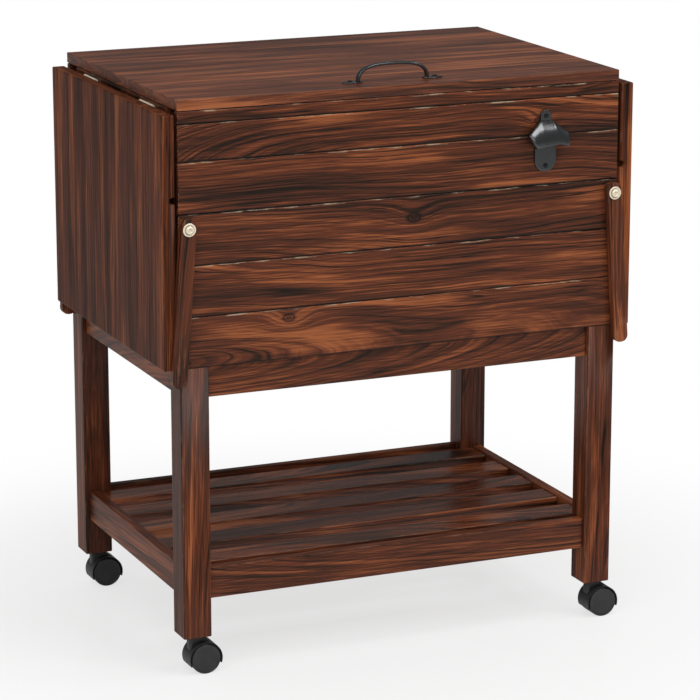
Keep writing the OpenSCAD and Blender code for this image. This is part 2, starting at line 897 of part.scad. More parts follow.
module bottle_opener() {
    color("#3b3d3f")
        translate([opener_x, front_y, opener_z])
            difference() {
                union() {
                    rotate([90, 0, 0])
                        linear_extrude(opener_t)
                            union() {
                                translate([0, opener_span / 2])
                                    circle(r = tab_r);
                                translate([-tab_r, 0])
                                    square([2 * tab_r, opener_span / 2]);
                                translate([0, plate_r - plate_end - opener_span / 2])
                                    circle(r = plate_r);
                                translate([-plate_r, plate_r - plate_end - opener_span / 2])
                                    square([2 * plate_r, opener_span / 2]);
                            }
                    difference() {
                        hood_form(0, 0);
                        translate([0, -opener_t, 0])
                            hood_form(hood_wall, 4);
                    }
                }
                for (z = [-opener_span / 2, opener_span / 2])
                    rod_y(0, z, -opener_t - through, through, opener_screw_r + screw_fit);
            }
}

module opener_screws() {
    color("#2a2c2e")
        for (z = [opener_low_z, opener_top_z]) {
            rod_y(opener_x, z, front_y - opener_t, front_y + opener_bite - 1, opener_screw_r);
            translate([opener_x, front_y - opener_t, z])
                rotate([90, 0, 0])
                    cylinder(r1 = screw_head_r, r2 = screw_head_r * 0.6, h = screw_head_h);
        }
}

function leg_centre(sx, sy) = [sx * (half_w - leg_w / 2), face_y(sy) - sy * leg_w / 2, 0];

module caster_stems() {
    color("silver")
        for (sx = [left, right], sy = [front, rear])
            translate(leg_centre(sx, sy)) {
                translate([0, 0, leg_foot_h])
                    cylinder(r = stem_r, h = stem_l);
                translate([0, 0, swivel_h])
                    cylinder(r = collar_r, h = collar_t);
                translate([0, 0, swivel_h - stem_neck_l])
                    cylinder(r = stem_neck_r, h = stem_neck_l);
            }
}

// The caster's hood wraps the wheels from low behind, over the top, to the front
module caster_hood(sx, sy) {
    inner_r = wheel_r + tread_gap;
    boss_top = swivel_h - swivel_gap;
    color("#202224")
        translate(leg_centre(sx, sy))
            difference() {
                union() {
                    translate([caster_trail, 0, wheel_r])
                        difference() {
                            rod_y(0, 0, -caster_w / 2, caster_w / 2, caster_hood_r);
                            for (side = [front, rear])
                                rod_y(0, 0, side * web_t / 2, side * (caster_w / 2 + through), inner_r);
                            translate([-caster_hood_r - through, -caster_w, -caster_hood_r * 2 - hood_tail_drop])
                                cube([caster_hood_r + through, 2 * caster_w, caster_hood_r * 2]);
                            translate([0, -caster_w, -caster_hood_r * 2 - hood_nose_drop])
                                cube([caster_hood_r + through, 2 * caster_w, caster_hood_r * 2]);
                            rod_y(0, 0, -caster_w, caster_w, axle_r + stem_fit);
                        }
                    translate([0, 0, hood_boss_from])
                        cylinder(r = hood_boss_r, h = boss_top - hood_boss_from);
                    // Block that slopes from the swivel down to the hood's back
                    translate([0, hood_boss_r, 0])
                        rotate([90, 0, 0])
                            linear_extrude(2 * hood_boss_r)
                                polygon([
                                    [0, hood_boss_from],
                                    [0, boss_top],
                                    [hood_slope_top, boss_top],
                                    [
                                        caster_trail + caster_hood_r * cos(hood_slope_angle),
                                        wheel_r + caster_hood_r * sin(hood_slope_angle)
                                    ],
                                    [caster_trail, hood_boss_from]
                                ]);
                }
                for (side = [front, rear])
                    wheel_space(side, inner_r);
                translate([0, 0, swivel_h - stem_neck_l - swivel_gap])
                    cylinder(r = stem_neck_r + stem_fit, h = stem_neck_l + 2 * swivel_gap);
            }
}

// Room for one wheel inside the hood
module wheel_space(side, r) {
    rod_y(caster_trail, wheel_r, side * web_t / 2, side * (caster_w / 2 + through), r);
}

module caster_wheels(sx, sy) {
    gap = (caster_w - 2 * wheel_w - web_t) / 2;
    hub_in = web_t / 2 + gap;
    color("#18191a")
        translate(leg_centre(sx, sy) + [caster_trail, 0, wheel_r]) {
            for (side = [front, rear])
                difference() {
                    rod_y(0, 0, side * hub_in, side * caster_w / 2, wheel_r);
                    rod_y(0, 0, side * (hub_in - through), side * (caster_w / 2 - 2), axle_r + pin_fit);
                }
            rod_y(0, 0, -caster_w / 2 + 2.2, caster_w / 2 - 2.2, axle_r);
        }
}

leg(left, front);  // leg_front_left
leg(right, front);  // leg_front_right
leg(left, rear);  // leg_rear_left
leg(right, rear);  // leg_rear_right
front_board(1);  // front_board_1
front_board(2);  // front_board_2
front_board(3);  // front_board_3
front_board(4);  // front_board_4
front_board(5);  // front_board_5
front_board(6);  // front_board_6
rear_boards();
end_boards(left);  // left_boards
end_boards(right);  // right_boards
apron_cross(front);  // apron_front
apron_cross(rear);  // apron_rear
apron_end(left);  // apron_left
apron_end(right);  // apron_right
shelf_cross(front);  // shelf_rail_front
shelf_cross(rear);  // shelf_rail_rear
shelf_end(left);  // shelf_rail_left
shelf_end(right);  // shelf_rail_right
shelf_slats();
shelf_cleats();
floor_panel();
tub_insulation();
tub_liner();
liner_walls();
liner_corners();
drain_tube();
drain_cap();
lid_board(1);  // lid_board_1
lid_board(2);  // lid_board_2
lid_board(3);  // lid_board_3
lid_board(4);  // lid_board_4
lid_board(5);  // lid_board_5
lid_battens();
lid_inner_panel();
lid_handle();
lid_handle_screws();
hinge_box_plates();
hinge_pins();
lid_hinge_plates();
drop_leaf(left);  // leaf_left
drop_leaf(right);  // leaf_right
leaf_hinge_plates(left);  // leaf_left_hinge_plates
leaf_hinge_plates(right);  // leaf_right_hinge_plates
support_arm(left, front);  // arm_front_left
support_arm(right, front);  // arm_front_right
support_arm(left, rear);  // arm_rear_left
support_arm(right, rear);  // arm_rear_right
arm_pivot_screws();
bottle_opener();
opener_screws();
caster_stems();
caster_hood(left, front);  // caster_hood_front_left
caster_hood(right, front);  // caster_hood_front_right
caster_hood(left, rear);  // caster_hood_rear_left
caster_hood(right, rear);  // caster_hood_rear_right
caster_wheels(left, front);  // caster_wheels_front_left
caster_wheels(right, front);  // caster_wheels_front_right
caster_wheels(left, rear);  // caster_wheels_rear_left
caster_wheels(right, rear);  // caster_wheels_rear_right
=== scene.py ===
"""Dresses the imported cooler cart: stained boards, cast handle and opener, plated pivots,
twin-wheel casters and the insulated tub, with a pale studio round it."""

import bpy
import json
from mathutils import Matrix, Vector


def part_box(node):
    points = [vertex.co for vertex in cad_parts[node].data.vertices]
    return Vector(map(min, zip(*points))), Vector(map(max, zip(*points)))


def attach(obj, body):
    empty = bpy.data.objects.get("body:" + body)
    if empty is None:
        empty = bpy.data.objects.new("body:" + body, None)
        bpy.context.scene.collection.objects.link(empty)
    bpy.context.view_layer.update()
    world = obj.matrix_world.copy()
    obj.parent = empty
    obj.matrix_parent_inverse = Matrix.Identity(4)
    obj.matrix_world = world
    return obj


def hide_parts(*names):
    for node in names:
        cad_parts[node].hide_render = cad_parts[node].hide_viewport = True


bl_info = {
    "name": "Wooden Cooler Cart",
    "version": (1, 0, 0),
    "blender": (4, 5, 0),
    "location": "View3D > Sidebar > Cooler Cart",
    "description": "Builds the finished look of a wooden cooler cart on its packed frame",
    "category": "Add Mesh",
}

import json

import bmesh
import bpy
import numpy as np
from mathutils import Vector

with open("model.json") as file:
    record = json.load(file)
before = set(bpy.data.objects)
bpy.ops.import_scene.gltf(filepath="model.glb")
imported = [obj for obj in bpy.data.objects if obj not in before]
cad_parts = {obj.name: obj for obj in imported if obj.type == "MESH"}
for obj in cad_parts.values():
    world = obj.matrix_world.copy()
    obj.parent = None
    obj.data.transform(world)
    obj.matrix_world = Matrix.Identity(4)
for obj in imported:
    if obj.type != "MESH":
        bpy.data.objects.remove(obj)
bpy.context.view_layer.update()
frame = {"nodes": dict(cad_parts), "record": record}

LEFT, RIGHT = -1, 1
FRONT, REAR = -1, 1
UP = [0, 0, 1]
CORNER_SIGNS = np.array([[1, 1], [-1, 1], [-1, -1], [1, -1]])
PIVOT_X, PIVOT_Z = 0.313, 0.621
LID_HINGE_X = 0.205
OPENER_Z = 0.700
PLACES = ("front_left", "front_right", "rear_left", "rear_right")


# Frame

def node_box(node):
    """Lowest and highest corner of a CAD node as two arrays."""
    low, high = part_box(node)
    return np.array(low), np.array(high)


def solid_boxes(node):
    """Boxes of a CAD node's separate solids. Points at one place share a label, the
    lowest label of each triangle spreads over it until nothing changes, and each label
    left is one solid."""
    mesh = frame["nodes"][node].data
    mesh.calc_loop_triangles()
    points = np.empty(len(mesh.vertices) * 3)
    mesh.vertices.foreach_get("co", points)
    points = points.reshape(-1, 3)
    corners = np.empty(len(mesh.loop_triangles) * 3, dtype=np.int64)
    mesh.loop_triangles.foreach_get("vertices", corners)
    _, place = np.unique(np.round(points * 1e5), axis=0, return_inverse=True)
    place = place.reshape(-1)
    faces = place[corners].reshape(-1, 3)
    label = np.arange(place.max() + 1)
    while True:
        lowest = np.repeat(label[faces].min(axis=1), 3)
        spread = label.copy()
        np.minimum.at(spread, faces.reshape(-1), lowest)
        if np.array_equal(spread, label):
            break
        label = spread
    owner = label[place]
    boxes = [(points[owner == k].min(axis=0), points[owner == k].max(axis=0)) for k in np.unique(owner)]
    return sorted(boxes, key=lambda box: tuple(np.round(box[0], 4)))


def body_of_node(node):
    """Name of the body that carries a CAD node."""
    for body, members in frame["record"]["behaviour"]["bodies"].items():
        if node in members:
            return body
    raise RuntimeError("no body carries " + node)


# Surfaces

class Shell:
    """Points, faces and one value or vector per point for each named attribute."""

    def __init__(self, points, faces, marks=None):
        self.points = points
        self.faces = faces
        self.marks = marks or {}


def faced_outwards(points, quads, fans):
    """Turns all faces over if the volume they enclose, summed from the origin as
    tetrahedra, comes out negative."""
    thirds = np.concatenate([quads[:, [0, 1, 2]], quads[:, [0, 2, 3]], fans])
    a, b, c = points[thirds[:, 0]], points[thirds[:, 1]], points[thirds[:, 2]]
    if np.einsum("ij,ij->i", a, np.cross(b, c)).sum() < 0:
        quads, fans = quads[:, ::-1], fans[:, ::-1]
    return quads.tolist() + fans.tolist()


def ring_shell(rings, low_tip=None, high_tip=None, marks=None):
    """Closed rings of points joined in order by quads. Each end is closed by a fan to a
    tip, which is the middle of the end ring unless it is given."""
    count, around = rings.shape[:2]
    index = np.arange(count * around).reshape(count, around)
    turned = np.roll(index, -1, axis=1)
    quads = np.stack([index[:-1], turned[:-1], turned[1:], index[1:]], axis=-1).reshape(-1, 4)
    low_tip = rings[0].mean(axis=0) if low_tip is None else low_tip
    high_tip = rings[-1].mean(axis=0) if high_tip is None else high_tip
    points = np.concatenate([rings.reshape(-1, 3), [low_tip], [high_tip]])
    low_id, high_id = count * around, count * around + 1
    fans = np.concatenate([
        np.stack([turned[0], index[0], np.full(around, low_id)], axis=-1),
        np.stack([index[-1], turned[-1], np.full(around, high_id)], axis=-1),
    ])
    given = {}
    for name, values in (marks or {}).items():
        flat = values.reshape(count * around, *values.shape[2:])
        given[name] = np.concatenate([flat, values[0, :1], values[-1, :1]])
    return Shell(points, faced_outwards(points, quads, fans), given)


def sheet_shell(outer, inner):
    """A sheet with a thickness. Two grids of points face each other, and quads join them
    along their four borders."""
    rows, columns = outer.shape[:2]
    index = np.arange(rows * columns).reshape(rows, columns)
    face = np.stack([index[:-1, :-1], index[:-1, 1:], index[1:, 1:], index[1:, :-1]], axis=-1)
    face = face.reshape(-1, 4)
    border = np.concatenate([index[0], index[1:, -1], index[-1, -2::-1], index[-2:0:-1, 0]])
    after = np.roll(border, -1)
    rim = np.stack([after, border, border + rows * columns, after + rows * columns], axis=-1)
    quads = np.concatenate([face, face[:, ::-1] + rows * columns, rim])
    points = np.concatenate([outer.reshape(-1, 3), inner.reshape(-1, 3)])
    return Shell(points, faced_outwards(points, quads, np.zeros((0, 3), dtype=np.int64)))


def joined(shells):
    """One shell of several, the faces of each shifted past the points before it."""
    points, faces, start = [], [], 0
    for shell in shells:
        faces += [[start + k for k in face] for face in shell.faces]
        points.append(shell.points)
        start += len(shell.points)
    marks = {name: np.concatenate([shell.marks[name] for shell in shells]) for name in shells[0].marks}
    return Shell(np.concatenate(points), faces, marks)


def add_piece(name, shells, finish, body, replaced=()):
    """Puts shells into one new object at the origin and gives it its body and the CAD nodes
    that it stands for."""
    shell = joined(shells)
    mesh = bpy.data.meshes.new(name)
    mesh.from_pydata(shell.points.tolist(), [], shell.faces)
    for mark, values in shell.marks.items():
        if values.ndim == 2:
            layer = mesh.attributes.new(mark, "FLOAT_VECTOR", "POINT")
            layer.data.foreach_set("vector", values.astype(np.float32).reshape(-1))
        else:
            layer = mesh.attributes.new(mark, "FLOAT", "POINT")
            layer.data.foreach_set("value", values.astype(np.float32))
    sealed = bmesh.new()
    sealed.from_mesh(mesh)
    bmesh.ops.remove_doubles(sealed, verts=sealed.verts, dist=0.000002)
    sealed.to_mesh(mesh)
    sealed.free()
    mesh.polygons.foreach_set("use_smooth", np.full(len(mesh.polygons), True))
    mesh.materials.append(finish)
    mesh.update()
    piece = bpy.data.objects.new(name, mesh)
    bpy.context.scene.collection.objects.link(piece)
    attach(piece, body)
    if replaced:
        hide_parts(*replaced)
    return piece


def refinish(finish, *nodes):
    """Gives CAD nodes whose shape is right a finish of their own."""
    for node in nodes:
        mesh = frame["nodes"][node].data
        if not mesh.materials:
            mesh.materials.append(finish)
        for k in range(len(mesh.materials)):
            mesh.materials[k] = finish


def rounded_rectangle(low, high, radius, steps, support):
    """Points round rectangles, one row for each. A corner is a quarter circle of
    steps + 1 points, with one more point on the flat at a support distance on each side
    of it, which keeps the flats flat when they are shaded smooth."""
    angle = np.linspace(0, np.pi / 2, steps + 1)
    blocks = []
    for quarter in range(4):
        turn = angle + quarter * np.pi / 2
        sign = CORNER_SIGNS[quarter]
        corner = np.where(sign > 0, high, low)
        centre = corner - sign * radius[:, None]
        ray = np.stack([np.cos(turn), np.sin(turn)], axis=-1)
        arc = centre[:, None] + radius[:, None, None] * ray
        along = np.stack([-ray[:, 1], ray[:, 0]], axis=-1)
        before = arc[:, :1] - support * along[:1]
        after = arc[:, -1:] + support * along[-1:]
        blocks.append(np.concatenate([before, arc, after], axis=1))
    return np.concatenate(blocks, axis=1)


def crossways(axis):
    """Two unit vectors square to an axis and to each other: the axis crossed with up, or
    with x where the axis itself points up, and the axis crossed with that."""
    side = np.cross(axis, [0.0, 0.0, 1.0] if abs(axis[2]) < 0.9 else [1.0, 0.0, 0.0])
    side /= np.linalg.norm(side)
    return side, np.cross(axis, side)


def raised(outlines, up):
    """Flat outlines, one row for each, with each row's height as their third coordinate."""
    return np.concatenate([outlines, np.broadcast_to(up[:, None, None], (*outlines.shape[:2], 1))], axis=-1)


def turned_shell(profile, centre, axis, around=48):
    """A profile of (radius, distance) points turned round an axis through centre. Each
    ring is a circle at its distance along the axis, and an end of radius 0 is a tip."""
    profile = np.array(profile, dtype=float)
    centre, axis = np.array(centre, dtype=float), np.array(axis, dtype=float)
    side, other = crossways(axis)
    tips = [None, None]
    if profile[0, 0] == 0:
        tips[0] = centre + axis * profile[0, 1]
        profile = profile[1:]
    if profile[-1, 0] == 0:
        tips[1] = centre + axis * profile[-1, 1]
        profile = profile[:-1]
    angle = np.linspace(0, 2 * np.pi, around, endpoint=False)
    circle = np.cos(angle)[:, None] * side + np.sin(angle)[:, None] * other
    rings = centre + profile[:, 1, None, None] * axis + profile[:, 0, None, None] * circle
    return ring_shell(rings, *tips)


def swept_shell(path, across, out, half_across, half_out, power):
    """An oval carried along a path. At each point of the path it is
    across * half_across * cos + out * half_out * sin, both to a power that squares it
    when it is below 1."""
    angle = np.linspace(0, 2 * np.pi, 24, endpoint=False)
    wide = np.sign(np.cos(angle)) * np.abs(np.cos(angle)) ** power
    high = np.sign(np.sin(angle)) * np.abs(np.sin(angle)) ** power
    wide = np.asarray(half_across)[..., None, None] * wide[:, None] * across[:, None]
    high = np.asarray(half_out)[..., None, None] * high[:, None] * out[:, None]
    return ring_shell(path[:, None] + wide + high)


def screw_head(centre, axis, radius, height, recess="cross", seat=0.0):
    """A domed screw head on a disc of its radius. Its height over a point falls with the
    square of the distance from the middle, less the recess: a cross of two bars, or a
    hexagon, whose walls lean a little."""
    centre, axis = np.array(centre), np.array(axis, dtype=float)
    side, other = crossways(axis)
    angle = np.linspace(0, 2 * np.pi, 60, endpoint=False)
    share = np.concatenate([[1.0, 1.0, 0.985, 0.94], np.linspace(0.88, 0.06, 15)])
    base = np.concatenate([[0, 0.35, 0.5], np.full(len(share) - 3, 0.55)])
    x = share[:, None] * np.cos(angle)
    y = share[:, None] * np.sin(angle)
    dome = base[:, None] + 0.45 * np.clip(1 - share ** 2, 0, 1)[:, None] * (base[:, None] > 0.5)
    if recess == "cross":
        half_bar, half_length = 0.15, 0.6
        along_y = np.maximum(np.abs(x) / half_bar, np.abs(y) / half_length)
        along_x = np.maximum(np.abs(y) / half_bar, np.abs(x) / half_length)
        arm = np.minimum(along_y, along_x)
    else:
        half_flats = 0.46
        turn = np.arange(3)[:, None, None] * np.pi / 3
        arm = np.abs(x * np.cos(turn) + y * np.sin(turn)).max(axis=0) / half_flats
    dip = 0.5 * np.clip((1.12 - arm) / 0.24, 0, 1)
    level = seat + height * (dome - dip)
    spread = radius * (x[..., None] * side + y[..., None] * other)
    return ring_shell(
        centre + spread + level[..., None] * axis, high_tip=centre + axis * (seat + height * 0.5))


def softened(points, share, steps=5):
    """Runs between points of the first axis, each inner corner replaced by the quadratic
    curve that leaves the run before it and joins the run after it a share of the way
    along each."""
    t = np.linspace(0, 1, steps + 1).reshape(-1, *([1] * (points.ndim - 1)))
    parts = [points[:1]]
    for k in range(1, len(points) - 1):
        s = share[k - 1]
        start = points[k] + (points[k - 1] - points[k]) * s
        end = points[k] + (points[k + 1] - points[k]) * s
        lead_in = points[k] + (points[k - 1] - points[k]) * min(s * 1.35, 0.5)
        lead_out = points[k] + (points[k + 1] - points[k]) * min(s * 1.35, 0.5)
        curve = (1 - t) ** 2 * start + 2 * t * (1 - t) * points[k] + t ** 2 * end
        parts += [lead_in[None], curve, lead_out[None]]
    parts.append(points[-1:])
    return np.concatenate(parts)


# Timber

AXES = {"x": 0, "y": 1, "z": 2}


class Cut:
    """How one piece of timber lies in its log. The axes are those that the grain, the
    face's width and the thickness follow. pith is the log's centre across the face, its
    depth below it and how much it sinks along the grain. knot is a place and a size."""

    def __init__(self, number, run, width, depth, pith=None, knot=None, tone=0.0, side=1):
        luck = np.random.default_rng(number)
        self.axes = (AXES[run], AXES[width], AXES[depth])
        self.side = side
        drawn = (
            luck.uniform(-0.06, 0.06),
            luck.uniform(0.03, 0.08),
            luck.choice([-1, 1]) * luck.uniform(0.02, 0.12),
        )
        self.pith = drawn if pith is None else pith
        self.knot = (luck.uniform(-0.2, 0.2), luck.uniform(-0.02, 0.02), 0.0) if knot is None else knot
        self.look = (luck.uniform(0, 10), tone + luck.uniform(-0.05, 0.05), luck.uniform(-0.5, 0.5))

    def marks(self, points, centre):
        """Distances of points from the timber's middle along run, width and depth, and
        the timber's own constants on every point."""
        away = points - centre
        run, width, depth = self.axes
        grain = np.stack([away[..., run], away[..., width], self.side * away[..., depth]], axis=-1)
        marks = {"grain": grain}
        for name, value in (("pith", self.pith), ("knot", self.knot), ("look", self.look)):
            marks[name] = np.broadcast_to(np.array(value, dtype=float), points.shape).copy()
        return marks


def eased_rings(low, high, stack, corner, arris, stops=(), notch=None):
    """Rounded rectangles stacked along one axis, the ends eased by a quarter circle: at
    an angle the ring lies arris * (1 - cos) past the end and draws in arris * (1 - sin).
    stops are (place, low, high) rectangles on the way, two at one place for a shoulder.
    notch is (places, depths, length, corners), a slot cut into some corners. Returns the
    rings and how far each point lies on an arris, from 0 to 1, for each corner."""
    flat = [axis for axis in range(3) if axis != stack]
    steps, flats = 4, 0.0009
    quarter = np.linspace(0, np.pi / 2, steps + 1)
    into = np.concatenate([[0], arris * (1 - np.cos(quarter)), [arris + flats]])
    inset = np.concatenate([[arris + flats], arris * (1 - np.sin(quarter)), [0]])
    first = stops[0][1:] if stops else (low, high)
    last = stops[-1][1:] if stops else (low, high)
    place = [low[stack] + into, [s[0] for s in stops]]
    lows = [np.tile(first[0][flat], (len(into), 1)), *[s[1][flat][None] for s in stops]]
    highs = [np.tile(first[1][flat], (len(into), 1)), *[s[2][flat][None] for s in stops]]
    insets = [inset, np.zeros(len(stops))]
    depths = [np.zeros(len(into) + len(stops))]
    if notch:
        place.append(notch[0])
        lows.append(np.tile(low[flat], (len(notch[0]), 1)))
        highs.append(np.tile(high[flat], (len(notch[0]), 1)))
        insets.append(np.zeros(len(notch[0])))
        depths.append(notch[1])
    place.append(high[stack] - into[::-1])
    lows.append(np.tile(last[0][flat], (len(into), 1)))
    highs.append(np.tile(last[1][flat], (len(into), 1)))
    insets.append(inset[::-1])
    depths.append(np.zeros(len(into)))
    place, insets, depths = np.concatenate(place), np.concatenate(insets), np.concatenate(depths)
    lows = np.concatenate(lows) + insets[:, None]
    highs = np.concatenate(highs) - insets[:, None]
    radius = np.maximum(corner - insets, 0.0001)
    outline = rounded_rectangle(lows, highs, radius, steps, flats)
    block = steps + 3
    if notch:
        share = np.linspace(0, 1, block)
        cut = depths > 0
        for quarter_turn in notch[3]:
            sign = CORNER_SIGNS[quarter_turn]
            tip = np.where(sign > 0, highs[cut], lows[cut])
            narrow = tip - sign * np.stack([np.full(cut.sum(), notch[2]), np.zeros(cut.sum())], axis=-1)
            deep = tip - sign * np.stack([np.zeros(cut.sum()), depths[cut]], axis=-1)
            inner = narrow + deep - tip
            ends = (deep, narrow) if quarter_turn % 2 == 0 else (narrow, deep)
            to_inner = np.clip(share * 2, 0, 1)[None, :, None]
            past_inner = np.clip(share * 2 - 1, 0, 1)[None, :, None]
            path = ends[0][:, None] * (1 - to_inner) + inner[:, None] * (to_inner - past_inner)
            path = path + ends[1][:, None] * past_inner
            outline[np.where(cut)[0][:, None], np.arange(block) + quarter_turn * block] = path
    rings = np.empty((len(place), outline.shape[1], 3))
    rings[..., stack] = place[:, None]
    rings[..., flat[0]] = outline[..., 0]
    rings[..., flat[1]] = outline[..., 1]
    arc = np.concatenate([[0], 0.5 + 0.5 * np.sin(2 * quarter), [0]])
    on_corner = np.zeros((4, len(place), outline.shape[1]))
    for k in range(4):
        on_corner[k, :, k * block:(k + 1) * block] = arc
    on_end = np.clip(np.sin(np.pi * np.clip(insets / arris, 0, 1)) * 1.4, 0, 1)
    return rings, on_corner, on_end


def timber(low, high, cut, arris, corner=None, stack=None, stops=(), wear=(1, 1, 1, 1)):
    """A bar of timber with eased edges and the marks that its grain is drawn from. Its edge
    weights say for each of its four long edges how much of the colour of rubbed edges it
    takes, from 0 to 1, which is wear and a painted highlight at once, or, below 0, how much
    painted shade darkens it in a groove."""
    low, high = np.array(low, dtype=float), np.array(high, dtype=float)
    stack = cut.axes[0] if stack is None else stack
    corner = arris if corner is None else corner
    rings, on_corner, on_end = eased_rings(low, high, stack, corner, arris, stops=stops)
    marks = cut.marks(rings, (low + high) / 2)
    worn_and_painted_light = np.einsum("k,kij->ij", np.array(wear, dtype=float), on_corner)
    marks["edge"] = np.where(worn_and_painted_light < 0, worn_and_painted_light, np.maximum(worn_and_painted_light, on_end[:, None] * 0.5 * max(wear)))
    return ring_shell(rings, marks=marks)


# Node trees

def shade(code):
    """A scene colour of an sRGB code such as #6b331b."""
    parts = np.array([int(code[k:k + 2], 16) for k in (1, 3, 5)]) / 255
    linear = np.where(parts <= 0.04045, parts / 12.92, ((parts + 0.055) / 1.055) ** 2.4)
    return tuple(float(part) for part in linear)


class Nodes:
    """Short calls for building one node tree. A value is a number, a colour, a socket to
    link, or None for the node's own."""

    def __init__(self, tree):
        self.tree = tree

    def add(self, kind, *values, **settings):
        node = self.tree.nodes.new(kind)
        for key, value in settings.items():
            setattr(node, key, value)
        for socket, value in zip(node.inputs, values):
            self.give(socket, value)
        return node

    def give(self, socket, value):
        if isinstance(value, bpy.types.NodeSocket):
            self.tree.links.new(value, socket)
        elif value is not None:
            socket.default_value = value

    def math(self, operation, *values):
        return self.add("ShaderNodeMath", *values, operation=operation).outputs[0]

    def total(self, *values):
        result = values[0]
        for value in values[1:]:
            result = self.math("ADD", result, value)
        return result

    def times(self, *values):
        result = values[0]
        for value in values[1:]:
            result = self.math("MULTIPLY", result, value)
        return result

    def vector(self, x, y, z):
        return self.add("ShaderNodeCombineXYZ", x, y, z).outputs[0]

    def parts(self, vector):
        return self.add("ShaderNodeSeparateXYZ", vector).outputs

    def noise(self, vector, scale=1.0, detail=2.0, rough=0.5, output=0):
        node = self.add("ShaderNodeTexNoise")
        for name, value in (("Vector", vector), ("Scale", scale), ("Detail", detail), ("Roughness", rough)):
            self.give(node.inputs[name], value)
        return node.outputs[output]

    def smooth(self, value, start, end, low=0.0, high=1.0):
        node = self.add("ShaderNodeMapRange", value, start, end, low, high, interpolation_type="SMOOTHSTEP")
        return node.outputs[0]

    def mix(self, factor, a, b):
        node = self.add("ShaderNodeMix", data_type="RGBA", blend_type="MIX")
        for k, value in ((0, factor), (6, a), (7, b)):
            self.give(node.inputs[k], value)
        return node.outputs[2]

    def mark(self, name, output=1):
        return self.add("ShaderNodeAttribute", attribute_name=name).outputs[output]


def new_group(name, inputs, outputs):
    """A shader node group with named sockets, and its inner input and output nodes."""
    group = bpy.data.node_groups.new(name, "ShaderNodeTree")
    for label, kind in inputs:
        group.interface.new_socket(name=label, in_out="INPUT", socket_type=kind)
    for label, kind in outputs:
        group.interface.new_socket(name=label, in_out="OUTPUT", socket_type=kind)
    nodes = Nodes(group)
    return group, nodes, nodes.add("NodeGroupInput").outputs, nodes.add("NodeGroupOutput").inputs


